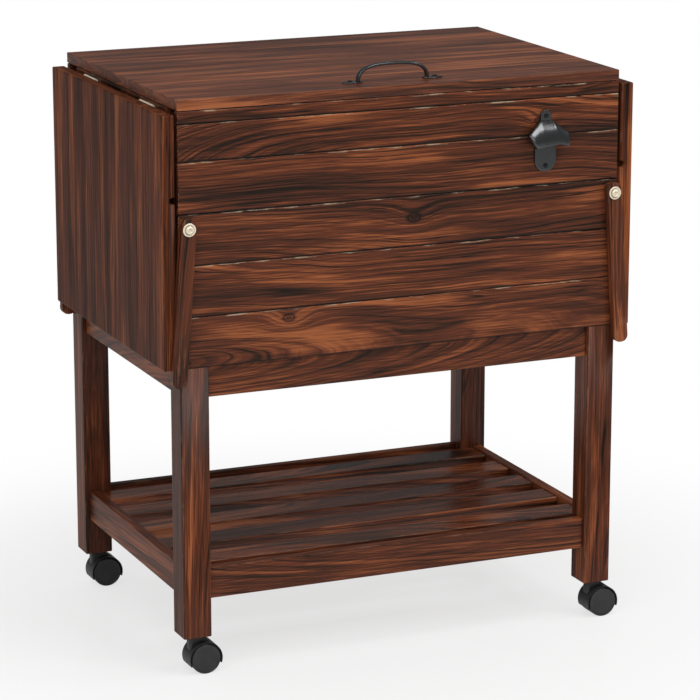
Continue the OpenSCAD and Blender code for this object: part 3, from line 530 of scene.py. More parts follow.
def stained_grain():
    """The group that every timber finish uses. Growth rings are shells round the pith:
    their phase is the distance of a point from it, bent by a slow sway, a ripple and a
    knot, over the ring width. Streaks, veins, stain and glow follow that distance, so
    they run with the figure. The sum of them all picks a colour between stain and light.
    Where Edge is above 0, the colour of rubbed edges is mixed in, which is wear and also
    a painted highlight on the arris; where Edge is below 0, the value is darkened as
    painted shade in the groove between boards."""
    group = bpy.data.node_groups.get("Stained Grain")
    if group:
        return group
    colours = bpy.context.scene.cart_wood
    vector, number = "NodeSocketVector", "NodeSocketFloat"
    group, n, given, out = new_group(
        "Stained Grain",
        [("Grain", vector), ("Look", vector), ("Pith", vector), ("Knot", vector), ("Edge", number),
         ("Ring Width", number), ("Contrast", number), ("Wear", number), ("Gloss", number),
         ("Sway", number)],
        [("Color", "NodeSocketColor"), ("Roughness", number), ("Height", number)])
    u, v, w = n.parts(given["Grain"])
    seed, tone, _ = n.parts(given["Look"])
    across, below, lean = n.parts(given["Pith"])
    knot_u, knot_v, knot_size = n.parts(given["Knot"])
    apart = n.times(seed, 3.7)

    def centred(value):
        return n.math("SUBTRACT", value, 0.5)

    def with_fibres(along, density, detail=2.0, rough=0.5):
        """Noise drawn out along the grain and as dense across the face as in depth."""
        place = n.vector(n.total(n.times(u, along), apart), n.times(v, density), n.times(w, density))
        return n.noise(place, detail=detail, rough=rough)

    sway_place = n.vector(n.total(n.times(u, 1.7), apart), n.times(v, 6.0), n.total(n.times(w, 6.0), apart))
    slow = n.parts(n.noise(sway_place, output=1))
    ripple = with_fibres(8.0, 26.0)
    du = n.math("DIVIDE", n.math("SUBTRACT", u, knot_u), 1.6)
    dv = n.math("SUBTRACT", v, knot_v)
    from_knot = n.math("SQRT", n.total(n.times(du, du), n.times(dv, dv)))
    far = n.math("DIVIDE", from_knot, n.math("MAXIMUM", knot_size, 0.0001))
    bulge = n.times(n.math("EXPONENT", n.times(far, far, -0.16)), knot_size, 1.2)
    dx = n.total(n.math("SUBTRACT", v, across), n.times(centred(slow[0]), given["Sway"], 0.075))
    dy = n.total(w, below, n.times(lean, u), n.times(centred(slow[1]), given["Sway"], 0.06))
    reach = n.total(
        n.math("SQRT", n.total(n.times(dx, dx), n.times(dy, dy))), bulge,
        n.times(centred(ripple), given["Sway"], 0.0075))

    def with_rings(along, density, layer, detail, rough=0.5):
        """Noise drawn out along the grain that changes with the distance from the pith."""
        place = n.vector(n.total(n.times(u, along), apart), n.times(reach, density), layer)
        return n.noise(place, detail=detail, rough=rough)

    uneven = n.noise(n.vector(apart, n.times(reach, 75.0), 0.0), detail=1.0)
    phase = n.total(n.math("DIVIDE", reach, given["Ring Width"]), n.times(uneven, 1.7))
    inside = n.math("FRACT", phase)
    ring = n.total(n.math("FLOOR", phase), n.times(seed, 13.0))
    luck = n.add("ShaderNodeTexWhiteNoise", None, ring, noise_dimensions="1D").outputs
    luck_two = n.add("ShaderNodeTexWhiteNoise", None, n.total(ring, 0.37), noise_dimensions="1D").outputs
    begin = n.total(0.5, n.times(luck[0], 0.34))
    late = n.times(
        n.smooth(inside, begin, 0.93), n.smooth(inside, 0.93, 1.0, 1.0, 0.0),
        n.total(0.12, n.times(luck_two[0], luck_two[0], 0.88)))
    streak = with_rings(3.2, 330.0, seed, detail=5.0, rough=0.7)
    cloud = with_rings(2.0, 32.0, n.total(seed, 4.0), detail=3.0)
    glow = with_rings(3.5, 46.0, n.total(seed, 8.0), detail=4.0)
    fibre = with_fibres(22.0, 1100.0, rough=0.6)
    fleck = with_fibres(9.0, 420.0, rough=0.6)
    vein = with_rings(1.6, 105.0, n.total(seed, 2.0), detail=3.0, rough=0.6)
    line = n.times(
        n.smooth(n.math("ABSOLUTE", centred(vein)), 0.0, 0.03, 1.0, 0.0),
        n.smooth(streak, 0.4, 0.62, 1.0, 0.35))
    stain = n.smooth(cloud, 0.47, 0.72)
    core = n.smooth(far, 0.75, 1.05, 1.0, 0.0)
    knot_rings = n.times(core, n.math("COSINE", n.times(far, 15.0)))
    halo = n.smooth(far, 1.1, 4.5, 1.0, 0.0)
    value = n.total(
        0.585, tone,
        n.times(late, given["Contrast"], -0.6),
        n.times(line, given["Contrast"], -0.42),
        n.times(stain, given["Contrast"], -0.27),
        n.times(centred(streak), 1.3), n.times(centred(fleck), 0.75), n.times(centred(fibre), 0.75),
        n.times(n.smooth(glow, 0.48, 0.64), 0.26),
        n.times(core, -0.34), n.times(knot_rings, 0.2), n.times(halo, 0.05),
        # Edge below 0 darkens the value: painted shade in the groove between boards.
        n.times(n.math("MINIMUM", given["Edge"], 0.0), 0.75))
    ramp = n.add("ShaderNodeValToRGB", value)
    elements = ramp.color_ramp.elements
    elements[0].position, elements[0].color = 0.04, (*colours.stain, 1)
    elements[1].position, elements[1].color = 1.0, (*colours.light, 1)
    for place, colour in ((0.3, colours.dark), (0.62, colours.middle)):
        element = elements.new(place)
        element.color = (*colour, 1)
    # Rubbed edges take their own colour, broken up by noise; on the arrises it is wear and a painted
    # highlight at once.
    rubbed = with_fibres(30.0, 210.0, detail=4.0, rough=0.65)
    worn_and_painted_light = n.times(n.smooth(rubbed, 0.51, 0.63), n.math("MAXIMUM", given["Edge"], 0.0), given["Wear"])
    n.give(out["Color"], n.mix(worn_and_painted_light, ramp.outputs[0], (*colours.worn_and_painted_light, 1)))
    rough = n.total(
        n.math("SUBTRACT", 0.62, n.times(given["Gloss"], 0.4)), n.times(centred(fibre), 0.22),
        n.times(late, -0.05), n.times(centred(cloud), 0.2))
    n.give(out["Roughness"], rough)
    n.give(out["Height"], n.total(n.times(late, 0.55), n.times(fibre, 0.5), n.times(streak, 0.5)))
    return group


def fine_texture():
    """The group that metals, plastics and foam use: a fine even speckle over a slow
    mottle, read at a scale of its own."""
    group = bpy.data.node_groups.get("Fine Texture")
    if group:
        return group
    group, n, given, out = new_group(
        "Fine Texture",
        [("Vector", "NodeSocketVector"), ("Scale", "NodeSocketFloat")],
        [("Mottle", "NodeSocketFloat"), ("Speckle", "NodeSocketFloat"), ("Height", "NodeSocketFloat")])
    slow = n.noise(given["Vector"], n.times(given["Scale"], 0.04), 3.0)
    fine = n.noise(given["Vector"], given["Scale"], 2.0, 0.6)
    n.give(out["Mottle"], slow)
    n.give(out["Speckle"], fine)
    n.give(out["Height"], n.total(fine, n.times(slow, 0.6)))
    return group


def new_material(name):
    """A material with a bare Principled BSDF, and calls for its tree."""
    material = bpy.data.materials.new(name)
    material.use_nodes = True
    material.node_tree.nodes.clear()
    nodes = Nodes(material.node_tree)
    shader = nodes.add("ShaderNodeBsdfPrincipled")
    end = nodes.add("ShaderNodeOutputMaterial")
    nodes.tree.links.new(shader.outputs[0], end.inputs[0])
    return material, nodes, shader.inputs


def placed_group(nodes, group, **values):
    """One group node in a material with its named inputs filled."""
    node = nodes.add("ShaderNodeGroup", node_tree=group)
    for name, value in values.items():
        nodes.give(node.inputs[name.replace("_", " ").title()], value)
    return node.outputs


def stained(name, ring, contrast, wear, gloss=0.6, relief=0.5, coat=0.05, sway=0.75, specular=0.18):
    """A stained and varnished softwood finish. ring is the rings' width in metres."""
    material, n, shader = new_material(name)
    grain = placed_group(
        n, stained_grain(), grain=n.mark("grain"), look=n.mark("look"), pith=n.mark("pith"),
        knot=n.mark("knot"), edge=n.mark("edge", 2), ring_width=ring, contrast=contrast, wear=wear,
        gloss=gloss, sway=sway)
    n.give(shader["Base Color"], grain["Color"])
    n.give(shader["Roughness"], grain["Roughness"])
    bump = n.add("ShaderNodeBump")
    bump.inputs["Strength"].default_value = relief
    bump.inputs["Distance"].default_value = 0.0004
    n.give(bump.inputs["Height"], grain["Height"])
    n.give(shader["Normal"], bump.outputs[0])
    shader["Specular IOR Level"].default_value = specular
    shader["Coat Weight"].default_value = coat
    shader["Coat Roughness"].default_value = 0.28
    return material


def plain_finish(name, colour, metallic, rough, scale, relief, spread=0.12, shift=None, mottle=0.8):
    """A metal, plastic or foam finish: its colour and roughness wander with the mottle
    and speckle of the fine texture, which also gives the relief. The darker patches are
    the colour times mottle, and the lighter ones are shift where it is given."""
    material, n, shader = new_material(name)
    place = n.add("ShaderNodeTexCoord").outputs["Object"]
    grain = placed_group(n, fine_texture(), vector=place, scale=scale)
    darker = tuple(part * mottle for part in colour)
    lighter = tuple(min(part / mottle ** 0.6, 1) for part in colour)
    patches = n.smooth(grain["Mottle"], 0.3, 0.7)
    n.give(shader["Base Color"], n.mix(patches, (*darker, 1), (*(shift or lighter), 1)))
    wander = [n.times(n.math("SUBTRACT", grain[name], 0.5), spread) for name in ("Speckle", "Mottle")]
    n.give(shader["Roughness"], n.total(rough, *wander))
    bump = n.add("ShaderNodeBump")
    bump.inputs["Strength"].default_value = relief
    bump.inputs["Distance"].default_value = 0.0002
    n.give(bump.inputs["Height"], grain["Height"])
    n.give(shader["Normal"], bump.outputs[0])
    shader["Metallic"].default_value = metallic
    return material


FINISHES = {
    "stained_boards": lambda: stained("stained_boards", ring=0.0066, contrast=1.0, wear=0.85),
    "stained_lid": lambda: stained(
        "stained_lid", ring=0.006, contrast=0.6, wear=0.2, gloss=0.6, relief=0.3, sway=0.35, specular=0.3),
    "stained_legs": lambda: stained("stained_legs", ring=0.005, contrast=0.8, wear=0.15, sway=0.28),
    "stained_leaves": lambda: stained(
        "stained_leaves", ring=0.0042, contrast=0.75, wear=0.12, gloss=0.4, relief=0.4, sway=0.2,
        specular=0.05),
    "stained_slats": lambda: stained(
        "stained_slats", ring=0.007, contrast=0.85, wear=0.12, gloss=0.85, coat=0.1, sway=0.4,
        specular=0.35),
    "painted_iron": lambda: plain_finish(
        "painted_iron", tuple(bpy.context.scene.cart_metal.iron), 0.8, 0.23, 2600, 0.02, spread=0.05,
        mottle=0.97),
    "blackened_steel": lambda: plain_finish(
        "blackened_steel", shade("#2b2d2f"), 0.7, 0.34, 3000, 0.03),
    "plated_steel": lambda: plain_finish(
        "plated_steel", tuple(bpy.context.scene.cart_metal.plating), 0.2, 0.26, 3200, 0.015, mottle=0.93),
    "black_nylon": lambda: plain_finish(
        "black_nylon", tuple(bpy.context.scene.cart_metal.nylon), 0.0, 0.36, 2400, 0.05),
    "white_liner": lambda: plain_finish(
        "white_liner", shade("#dededa"), 0.0, 0.34, 900, 0.03, mottle=0.955),
    "white_foam": lambda: plain_finish("white_foam", shade("#e9e9e6"), 0.0, 0.8, 420, 0.6, mottle=0.93),
    "pale_plywood": lambda: plain_finish(
        "pale_plywood", shade("#b98a5a"), 0.0, 0.62, 700, 0.3, shift=shade("#c99c6c")),
}


def finish(name):
    """The material of that name, made the first time it is asked for."""
    return bpy.data.materials.get(name) or FINISHES[name]()


# Settings

class CartWood(bpy.types.PropertyGroup):
    """Sizes and stain of the timber."""

    board_arris: bpy.props.FloatProperty(
        name="Board arris", description="Radius of the wall boards' long edges", default=0.0016,
        min=0.0003, max=0.003, precision=4, unit="LENGTH")
    frame_arris: bpy.props.FloatProperty(
        name="Frame arris", description="Radius of the legs', rails' and slats' edges", default=0.0016,
        min=0.0003, max=0.003, precision=4, unit="LENGTH")
    lid_arris: bpy.props.FloatProperty(
        name="Lid arris", description="Radius of the lid boards' edges", default=0.0006,
        min=0.0003, max=0.003, precision=4, unit="LENGTH")
    stain: bpy.props.FloatVectorProperty(
        name="Deep stain", description="Colour of the darkest bands", size=3, subtype="COLOR",
        min=0, max=1, default=shade("#1e120b"))
    dark: bpy.props.FloatVectorProperty(
        name="Dark wood", description="Colour of the late wood", size=3, subtype="COLOR",
        min=0, max=1, default=shade("#3b2115"))
    middle: bpy.props.FloatVectorProperty(
        name="Middle wood", description="Colour of most of the surface", size=3, subtype="COLOR",
        min=0, max=1, default=shade("#61311e"))
    light: bpy.props.FloatVectorProperty(
        name="Light wood", description="Colour of the lightest early wood", size=3, subtype="COLOR",
        min=0, max=1, default=shade("#a05c35"))
    # This colour also stands for painted highlights where the arrises catch the light.
    worn_and_painted_light: bpy.props.FloatVectorProperty(
        name="Worn and highlit edge", description="Colour of rubbed edges and painted edge highlights", size=3, subtype="COLOR",
        min=0, max=1, default=shade("#ae9a80"))


class CartMetal(bpy.types.PropertyGroup):
    """Colours of the ironmongery."""

    iron: bpy.props.FloatVectorProperty(
        name="Cast iron", description="Colour of the handle and the opener", size=3, subtype="COLOR",
        min=0, max=1, default=shade("#525354"))
    plating: bpy.props.FloatVectorProperty(
        name="Plating", description="Colour of the hinges, washers and pegs", size=3, subtype="COLOR",
        min=0, max=1, default=shade("#f6ead2"))
    nylon: bpy.props.FloatVectorProperty(
        name="Nylon", description="Colour of the casters", size=3, subtype="COLOR",
        min=0, max=1, default=shade("#2a2a2b"))


class CartStage(bpy.types.PropertyGroup):
    """Camera, lights and floor."""

    place: bpy.props.FloatVectorProperty(
        name="Camera place", description="Where the camera stands", size=3, subtype="TRANSLATION",
        unit="LENGTH", default=(-1.6986, -3.9679, 1.4617))
    heading: bpy.props.FloatProperty(
        name="Heading", description="Turn of the view from the cart's depth towards its right",
        subtype="ANGLE", default=np.radians(23.357))
    pitch: bpy.props.FloatProperty(
        name="Pitch", description="Tilt of the view below the horizon", subtype="ANGLE",
        default=np.radians(14.128))
    lens: bpy.props.FloatProperty(
        name="Lens", description="Focal length on a 36 mm sensor, in millimetres", default=160.5, min=20)
    key: bpy.props.FloatProperty(
        name="Key light", description="Power of the softbox over the front left", default=53.0,
        min=0, unit="POWER")
    fill: bpy.props.FloatProperty(
        name="Overhead light", description="Power of the softbox over the cart", default=30.0,
        min=0, unit="POWER")
    side: bpy.props.FloatProperty(
        name="Side light", description="Power of the small softbox at the right", default=13.0,
        min=0, unit="POWER")
    ambient: bpy.props.FloatProperty(
        name="Room light", description="Strength of the even light of the room", default=0.5, min=0, max=1)
    reflected: bpy.props.FloatProperty(
        name="Mirrored room", description="Strength of the room in reflections", default=0.16, min=0, max=1)
    floor: bpy.props.FloatVectorProperty(
        name="Floor", description="Colour of the floor", size=3, subtype="COLOR",
        min=0, max=1, default=shade("#fcfcfc"))


# Operators

class CartOperator:
    """What the cart's operators share."""

    bl_options = {"REGISTER", "UNDO"}


class CART_OT_wall_boards(CartOperator, bpy.types.Operator):
    """Build the boards of the four walls"""

    bl_idname = "cart.wall_boards"
    bl_label = "Wall Boards"

    def execute(self, context):
        arris = context.scene.cart_wood.board_arris
        material = finish("stained_boards")
        piths = {
            1: (-0.028, 0.052, 0.05), 2: (0.052, 0.034, -0.06), 3: (-0.045, 0.030, 0.045),
            4: (-0.085, 0.040, 0.03), 5: (-0.060, 0.028, -0.17), 6: (0.03, 0.05, 0.02),
        }
        knots = {1: (-0.168, 0.022, 0.0075), 3: (0.0145, 0.005, 0.009), 5: (0.2, -0.004, 0.005)}
        for row in range(1, 7):
            node = f"front_board_{row}"
            low, high = node_box(node)
            cut = Cut(100 + row, "x", "z", "y", piths[row], knots.get(row))
            # Upper front arris: rubbed-edge colour, wear and a painted highlight at once. Lower front
            # arris: painted shade in the groove to the board below.
            shell = timber(low, high, cut, arris, wear=(0.0, 1.0, -1.0, 0.0))
            add_piece(f"wall_board_front_{row}", [shell], material, body_of_node(node), [node])
        for node, run, depth, number, side in (
                ("rear_boards", "x", "y", 120, -1), ("left_boards", "y", "x", 140, 1),
                ("right_boards", "y", "x", 160, -1)):
            shells = []
            for k, (low, high) in enumerate(solid_boxes(node)):
                cut = Cut(number + k, run, "z", depth, side=side)
                shells.append(timber(low, high, cut, arris, wear=(0.3, 0.3, 0.3, 0.3)))
            add_piece(f"wall_{node}", shells, material, body_of_node(node), [node])
        return {"FINISHED"}


class CART_OT_lid(CartOperator, bpy.types.Operator):
    """Build the lid's boards and battens"""

    bl_idname = "cart.lid"
    bl_label = "Lid"

    def execute(self, context):
        arris = context.scene.cart_wood.lid_arris
        material = finish("stained_lid")
        for row in range(1, 6):
            node = f"lid_board_{row}"
            low, high = node_box(node)
            across = 0.13 if row % 2 else -0.11
            cut = Cut(200 + row, "x", "y", "z", (across, 0.075, 0.012 * (row - 3)), tone=0.045)
            shell = timber(low, high, cut, arris, wear=(0.3, 0.6, 0.3, 0.3))
            add_piece(f"lid_plank_{row}", [shell], material, "lid", [node])
        shells = [
            timber(low, high, Cut(220 + k, "y", "x", "z"), arris)
            for k, (low, high) in enumerate(solid_boxes("lid_battens"))]
        add_piece("lid_batten_pair", shells, finish("stained_slats"), "lid", ["lid_battens"])
        return {"FINISHED"}


class CART_OT_legs(CartOperator, bpy.types.Operator):
    """Build the four legs with the shoulders that take the wall boards"""

    bl_idname = "cart.legs"
    bl_label = "Legs"

    def execute(self, context):
        arris = context.scene.cart_wood.frame_arris
        shoulder = node_box("front_board_1")[0][2]
        rebate = node_box("front_board_1")[1][1] - node_box("front_board_1")[0][1]
        tones = (-0.05, 0.03, 0, 0)
        for k, name in enumerate(PLACES):
            node = "leg_" + name
            low, high = node_box(node)
            upper_low, upper_high = low.copy(), high.copy()
            if name.startswith("front"):
                upper_low[1] += rebate
            else:
                upper_high[1] -= rebate
            stops = [(shoulder, low, high), (shoulder, upper_low, upper_high)]
            pith = (0.034 - 0.017 * k, 0.062, 0.028 - 0.014 * k)
            shell = timber(low, high, Cut(300 + k, "z", "x", "y", pith, tone=tones[k]), arris, stops=stops)
            add_piece("post_" + name, [shell], finish("stained_legs"), body_of_node(node), [node])
        return {"FINISHED"}


class CART_OT_rails(CartOperator, bpy.types.Operator):
    """Build the aprons, the shelf rails, the slats and their cleats"""

    bl_idname = "cart.rails"
    bl_label = "Rails and Shelf"

    def execute(self, context):
        arris = context.scene.cart_wood.frame_arris
        number = 400
        for level in ("apron", "shelf_rail"):
            for place, run, depth in (
                    ("front", "x", "y"), ("rear", "x", "y"), ("left", "y", "x"), ("right", "y", "x")):
                node = f"{level}_{place}"
                low, high = node_box(node)
                number += 1
                shell = timber(low, high, Cut(number, run, "z", depth), arris)
                add_piece(
                    f"bar_{node}", [shell], finish("stained_legs"), body_of_node(node), [node])
        for node, run, width, slot in (
                ("shelf_slats", "x", "y", "slats"), ("shelf_cleats", "y", "x", "rails")):
            shells = [
                timber(low, high, Cut(number + 10 + k, run, width, "z"), arris)
                for k, (low, high) in enumerate(solid_boxes(node))]
            number += 10
            add_piece(f"{node}_timber", shells, finish("stained_slats"), body_of_node(node), [node])
        return {"FINISHED"}


class CART_OT_leaves(CartOperator, bpy.types.Operator):
    """Build the drop leaves with the notches for the arms' pegs"""

    bl_idname = "cart.leaves"
    bl_label = "Drop Leaves"

    def execute(self, context):
        arris = context.scene.cart_wood.board_arris
        height, radius, deepest, length = 0.658, 0.005, 0.008, 0.017
        angle = np.linspace(0, np.pi, 9)
        places = np.concatenate([[height - radius], height - radius * np.cos(angle), [height + radius]])
        depths = np.concatenate([[0], deepest - radius + radius * np.sin(angle), [0]])
        for name, side in (("left", LEFT), ("right", RIGHT)):
            node = "leaf_" + name
            low, high = node_box(node)
            corners = (2, 3) if side == RIGHT else (0, 1)
            pith = (0.31 * side, 0.13, 0.02)
            cut = Cut(500 + side, "z", "y", "x", pith, tone=-0.09 - 0.035 * side, side=side)
            shell = leaf_shell(low, high, cut, arris, (places, depths, length, corners))
            add_piece("drop_" + node, [shell], finish("stained_leaves"), node, [node])
        return {"FINISHED"}


def leaf_shell(low, high, cut, arris, notch):
    """A leaf is worked out with its width and thickness swapped, so that the notches run
    in along its width, and is swapped back afterwards."""
    swap = np.array([1, 0, 2])
    shell_low, shell_high = low[swap], high[swap]
    rings, on_corner, on_end = eased_rings(shell_low, shell_high, 2, arris, arris, notch=notch)
    rings = rings[..., swap]
    marks = cut.marks(rings, (low + high) / 2)
    marks["edge"] = np.maximum(on_corner.sum(axis=0), on_end[:, None] * 0.5)
    return ring_shell(rings, marks=marks)


class CART_OT_arms(CartOperator, bpy.types.Operator):
    """Build the support arms with the pegs in their lower ends"""

    bl_idname = "cart.arms"
    bl_label = "Support Arms"

    def execute(self, context):
        tilt = np.radians(4.135)
        reach, head, tail, width, thick = 0.19833, 0.0145, 0.0155, 0.021, 0.012
        for k, (name, sx, sy) in enumerate((
                ("front_left", LEFT, FRONT), ("front_right", RIGHT, FRONT),
                ("rear_left", LEFT, REAR), ("rear_right", RIGHT, REAR))):
            body = "arm_" + name
            low, high = node_box(body)
            outer = low[1] if sy == FRONT else high[1]
            inner = outer - sy * thick
            faces = sorted((outer, inner))
            arm_low = [-width / 2, faces[0], -reach - tail]
            arm_high = [width / 2, faces[1], head]
            cut = Cut(600 + k, "z", "x", "y", (0.03, 0.05, 0.02), tone=-0.1 if k == 1 else 0.0)
            shell = timber(arm_low, arm_high, cut, 0.0012, corner=0.009, stack=1)
            angle = sx * tilt
            place = np.array([sx * PIVOT_X, 0.0, PIVOT_Z])
            turn = np.array([
                [np.cos(angle), 0, -np.sin(angle)], [0, 1, 0], [np.sin(angle), 0, np.cos(angle)]])
            shell.points = shell.points @ turn.T + place
            add_piece("strut_" + name, [shell], finish("stained_legs"), body, [body])
            seat = np.array([0.0, inner, -reach]) @ turn.T + place
            peg = turned_shell(
                [(0, -0.014), (0.0032, -0.014), (0.0038, -0.0136), (0.004, -0.013), (0.004, 0.0),
                 (0.004, 0.008), (0, 0.008)], seat, [0, sy, 0], 32)
            add_piece("peg_" + name, [peg], finish("plated_steel"), body)
        return {"FINISHED"}


class CART_OT_hinges(CartOperator, bpy.types.Operator):
    """Finish the hinges and build their screws and the arms' pivots"""

    bl_idname = "cart.hinges"
    bl_label = "Hinges and Pivots"

    def execute(self, context):
        plated = finish("plated_steel")
        refinish(
            plated, "hinge_box_plates", "hinge_pins", "lid_hinge_plates",
            "leaf_left_hinge_plates", "leaf_right_hinge_plates")
        rear = node_box("rear_boards")[1][1]
        seat = node_box("lid_board_5")[0][2]
        plate, spacing = 0.0015, 0.021
        for name, body, drop in (("wall", "cart", -0.018), ("lid", "lid", 0.0075)):
            heads = [
                screw_head([sx * LID_HINGE_X + dx, rear + plate, seat + drop], [0, 1, 0], 0.0031, 0.0011)
                for sx in (LEFT, RIGHT) for dx in (-spacing, 0.0, spacing)]
            add_piece(f"hinge_screws_{name}", heads, plated, body)
        shells = []
        for sx in (LEFT, RIGHT):
            for sy, face in ((FRONT, node_box("front_board_3")[0][1]), (REAR, rear)):
                spot, axis = np.array([sx * PIVOT_X, face, PIVOT_Z]), [0, sy, 0]
                shells.append(turned_shell(
                    [(0, 0.0001), (0.0068, 0.0001), (0.0073, 0.0003), (0.0073, 0.0006),
                     (0.0068, 0.0008), (0, 0.0008)], spot, axis))
                shells.append(turned_shell(
                    [(0, 0.0131), (0.0084, 0.0131), (0.0089, 0.0133), (0.009, 0.0137), (0.009, 0.0141),
                     (0.0088, 0.0145), (0.0083, 0.0146), (0.007, 0.0146), (0.0068, 0.0145),
                     (0.0067, 0.0135), (0, 0.0134)], spot, axis))
                shells.append(screw_head(spot, axis, 0.0056, 0.0054, "hex", 0.0134))
        add_piece("pivot_bolts", shells, plated, "cart", ["arm_pivot_screws"])
        return {"FINISHED"}


def handle_bow(middle, base, half, height):
    """The bow of the handle: an oval carried along a squared half ellipse, whose x is
    half * cos and z is height * sin, both to the power 0.72. It is a little slimmer on
    top than at the feet."""
    square, lift, half_width, half_thick = 0.72, 0.0006, 0.0042, 0.0022
    t = np.linspace(0, np.pi, 57)
    x = half * np.sign(np.cos(t)) * np.abs(np.cos(t)) ** square
    z = height * np.abs(np.sin(t)) ** square
    path = np.stack([middle[0] + x, np.full_like(x, middle[1]), base + lift + z], axis=-1)
    along = np.gradient(path, axis=0)
    along /= np.linalg.norm(along, axis=1, keepdims=True)
    across = np.broadcast_to([0.0, 1.0, 0.0], path.shape)
    out = np.cross(along, across)
    swell = 0.0003 * np.abs(np.cos(t)) ** 6
    return swept_shell(path, across, out, half_width + swell, half_thick + swell, 0.8)


def handle_foot(middle, base, sx):
    """A leaf-shaped foot. Along it, its half width swells and closes as a skewed sine, and
    its top falls from the bow to the tip and to both sides as a flattened arch."""
    rows, around = 33, 36
    inner_end, length, narrow, swell, thickest, lift = 0.0455, 0.0288, 0.0042, 0.0038, 0.0024, 0.0001
    s = np.linspace(0.0, 1.0, rows)
    reach = inner_end + s * length
    half = narrow + swell * np.sin(np.pi * np.clip((s - 0.12) / 0.8, 0, 1)) ** 1.4
    half *= np.sqrt(np.clip(1 - np.clip((s - 0.55) / 0.45, 0, 1) ** 2.4, 0.0004, 1))
    thick = thickest * np.clip(1 - np.clip((s - 0.8) / 0.2, 0, 1) ** 2, 0.25, 1)
    angle = np.linspace(0, 2 * np.pi, around, endpoint=False)
    side = np.sign(np.cos(angle)) * np.abs(np.cos(angle)) ** 0.8
    top = np.clip(np.sin(angle), 0, 1) ** 0.42
    x = np.broadcast_to(middle[0] + sx * reach[:, None], (rows, around))
    y = middle[1] + half[:, None] * side
    z = base + lift + thick[:, None] * top
    return ring_shell(np.stack([x, y, z], axis=-1))


class CART_OT_handle(CartOperator, bpy.types.Operator):
    """Build the lid's handle, its feet and its screws"""

    bl_idname = "cart.handle"
    bl_label = "Lid Handle"

    def execute(self, context):
        low, high = node_box("lid_handle")
        middle, base = (low + high) / 2, low[2]
        half_length, height, screw_at = 0.0507, 0.0231, 0.0625
        shells = [handle_bow(middle, base, half_length, height)]
        shells += [handle_foot(middle, base, sx) for sx in (LEFT, RIGHT)]
        add_piece("pull_handle", shells, finish("painted_iron"), "lid", ["lid_handle"])
        heads = [
            screw_head([middle[0] + sx * screw_at, middle[1], base], UP, 0.0034, 0.0018, seat=0.0022)
            for sx in (LEFT, RIGHT)]
        add_piece(
            "pull_handle_screws", heads, finish("blackened_steel"), "lid",
            ["lid_handle_screws"])
        return {"FINISHED"}


def opener_plate(centre):
    """The opener's back plate. Its half width over the height follows a circle at each
    end and a smooth step between them, and its front edge is eased by a quarter circle."""
    low, low_middle, low_radius = -0.043, -0.027, 0.016
    top_middle, top_radius = 0.0345, 0.008
    ease, thick, side_thick, face_inset = 0.0011, 0.0035, 0.0024, 0.0024
    up = np.concatenate([
        low + low_radius * (1 - np.cos(np.linspace(0.06, np.pi / 2, 14))), np.linspace(-0.02, 0.03, 12),
        top_middle + top_radius * np.sin(np.linspace(0, np.pi / 2 - 0.08, 12))])
    blend = np.clip((up + 0.01) / 0.035, 0, 1)
    half = low_radius + (top_radius - low_radius) * blend ** 2 * (3 - 2 * blend)
    low_arc = np.sqrt(np.clip(low_radius ** 2 - (up - low_middle) ** 2, 0, 1))
    top_arc = np.sqrt(np.clip(top_radius ** 2 - (up - top_middle) ** 2, 0, 1))
    half = np.where(up < low_middle, low_arc, half)
    half = np.where(up > top_middle, top_arc, half)
    outline = np.concatenate([np.stack([half, up], axis=-1), np.stack([-half, up], axis=-1)[::-1]])
    quarter = np.linspace(0, np.pi / 2, 5)
    inset = np.concatenate([[0, 0], ease * (1 - np.cos(quarter)), [face_inset]])
    out = np.concatenate([[0, side_thick / 2], side_thick + ease * np.sin(quarter), [thick]])
    inward = outline / np.linalg.norm(outline, axis=1, keepdims=True)
    flat = outline[None] - inset[:, None, None] * inward[None]
    forward = np.broadcast_to(out[:, None], flat.shape[:2])
    rings = np.stack([centre[0] + flat[..., 0], centre[1] - forward, centre[2] + flat[..., 1]], axis=-1)
    return ring_shell(rings)


def opener_hood(centre):
    """The opener's hood, a bent sheet. Its corners, from the wall round the wing and the
    front to the other wing, are given in millimetres at the wall, at the shoulder and at
    the lip, and softened both ways. The lip then rises by a bell curve of x."""
    corners = np.array([
        [(-24, 0, 12), (-24, 0.5, 12.2), (-9.5, 0, 28),
         (9.5, 0, 28), (24, 0.5, 12.2), (24, 0, 12)],
        [(-24.5, 0, 11), (-32.5, 15.5, 9.4), (-9.5, 5.5, 27.5),
         (9.5, 5.5, 27.5), (32.5, 15.5, 9.4), (24.5, 0, 11)],
        [(-20, 0, -6.5), (-26, 28.2, -6.4), (-11, 31.8, -2.4),
         (11, 31.8, -2.4), (26, 28.2, -5), (20, 0, -5)],
    ], dtype=float) / 1000
    across = softened(np.swapaxes(corners, 0, 1), [0.26, 0.15, 0.15, 0.2])
    sheet = softened(np.swapaxes(across, 0, 1), [0.12], 6)
    thick, rise = 0.0026, 0.0022
    along = np.linspace(0, 1, len(sheet))[:, None]
    bell = np.exp(-(sheet[..., 0] * 1000 - 9) ** 2 / 90) * np.clip(along * 2 - 1, 0, 1)
    sheet[..., 2] += rise * bell
    count, around = sheet.shape[:2]
    normal = np.cross(np.gradient(sheet, axis=0), np.gradient(sheet, axis=1))
    normal /= np.maximum(np.linalg.norm(normal, axis=-1, keepdims=True), 1e-9)
    outward = np.sign((normal[count // 2, around // 2] * [0, 1, 0]).sum())
    inner = sheet - thick * normal * outward
    inner[..., 1] = np.maximum(inner[..., 1], 0.0)
    outer, inner = (centre + layer * [1, -1, 1] for layer in (sheet, inner))
    return sheet_shell(outer, inner)


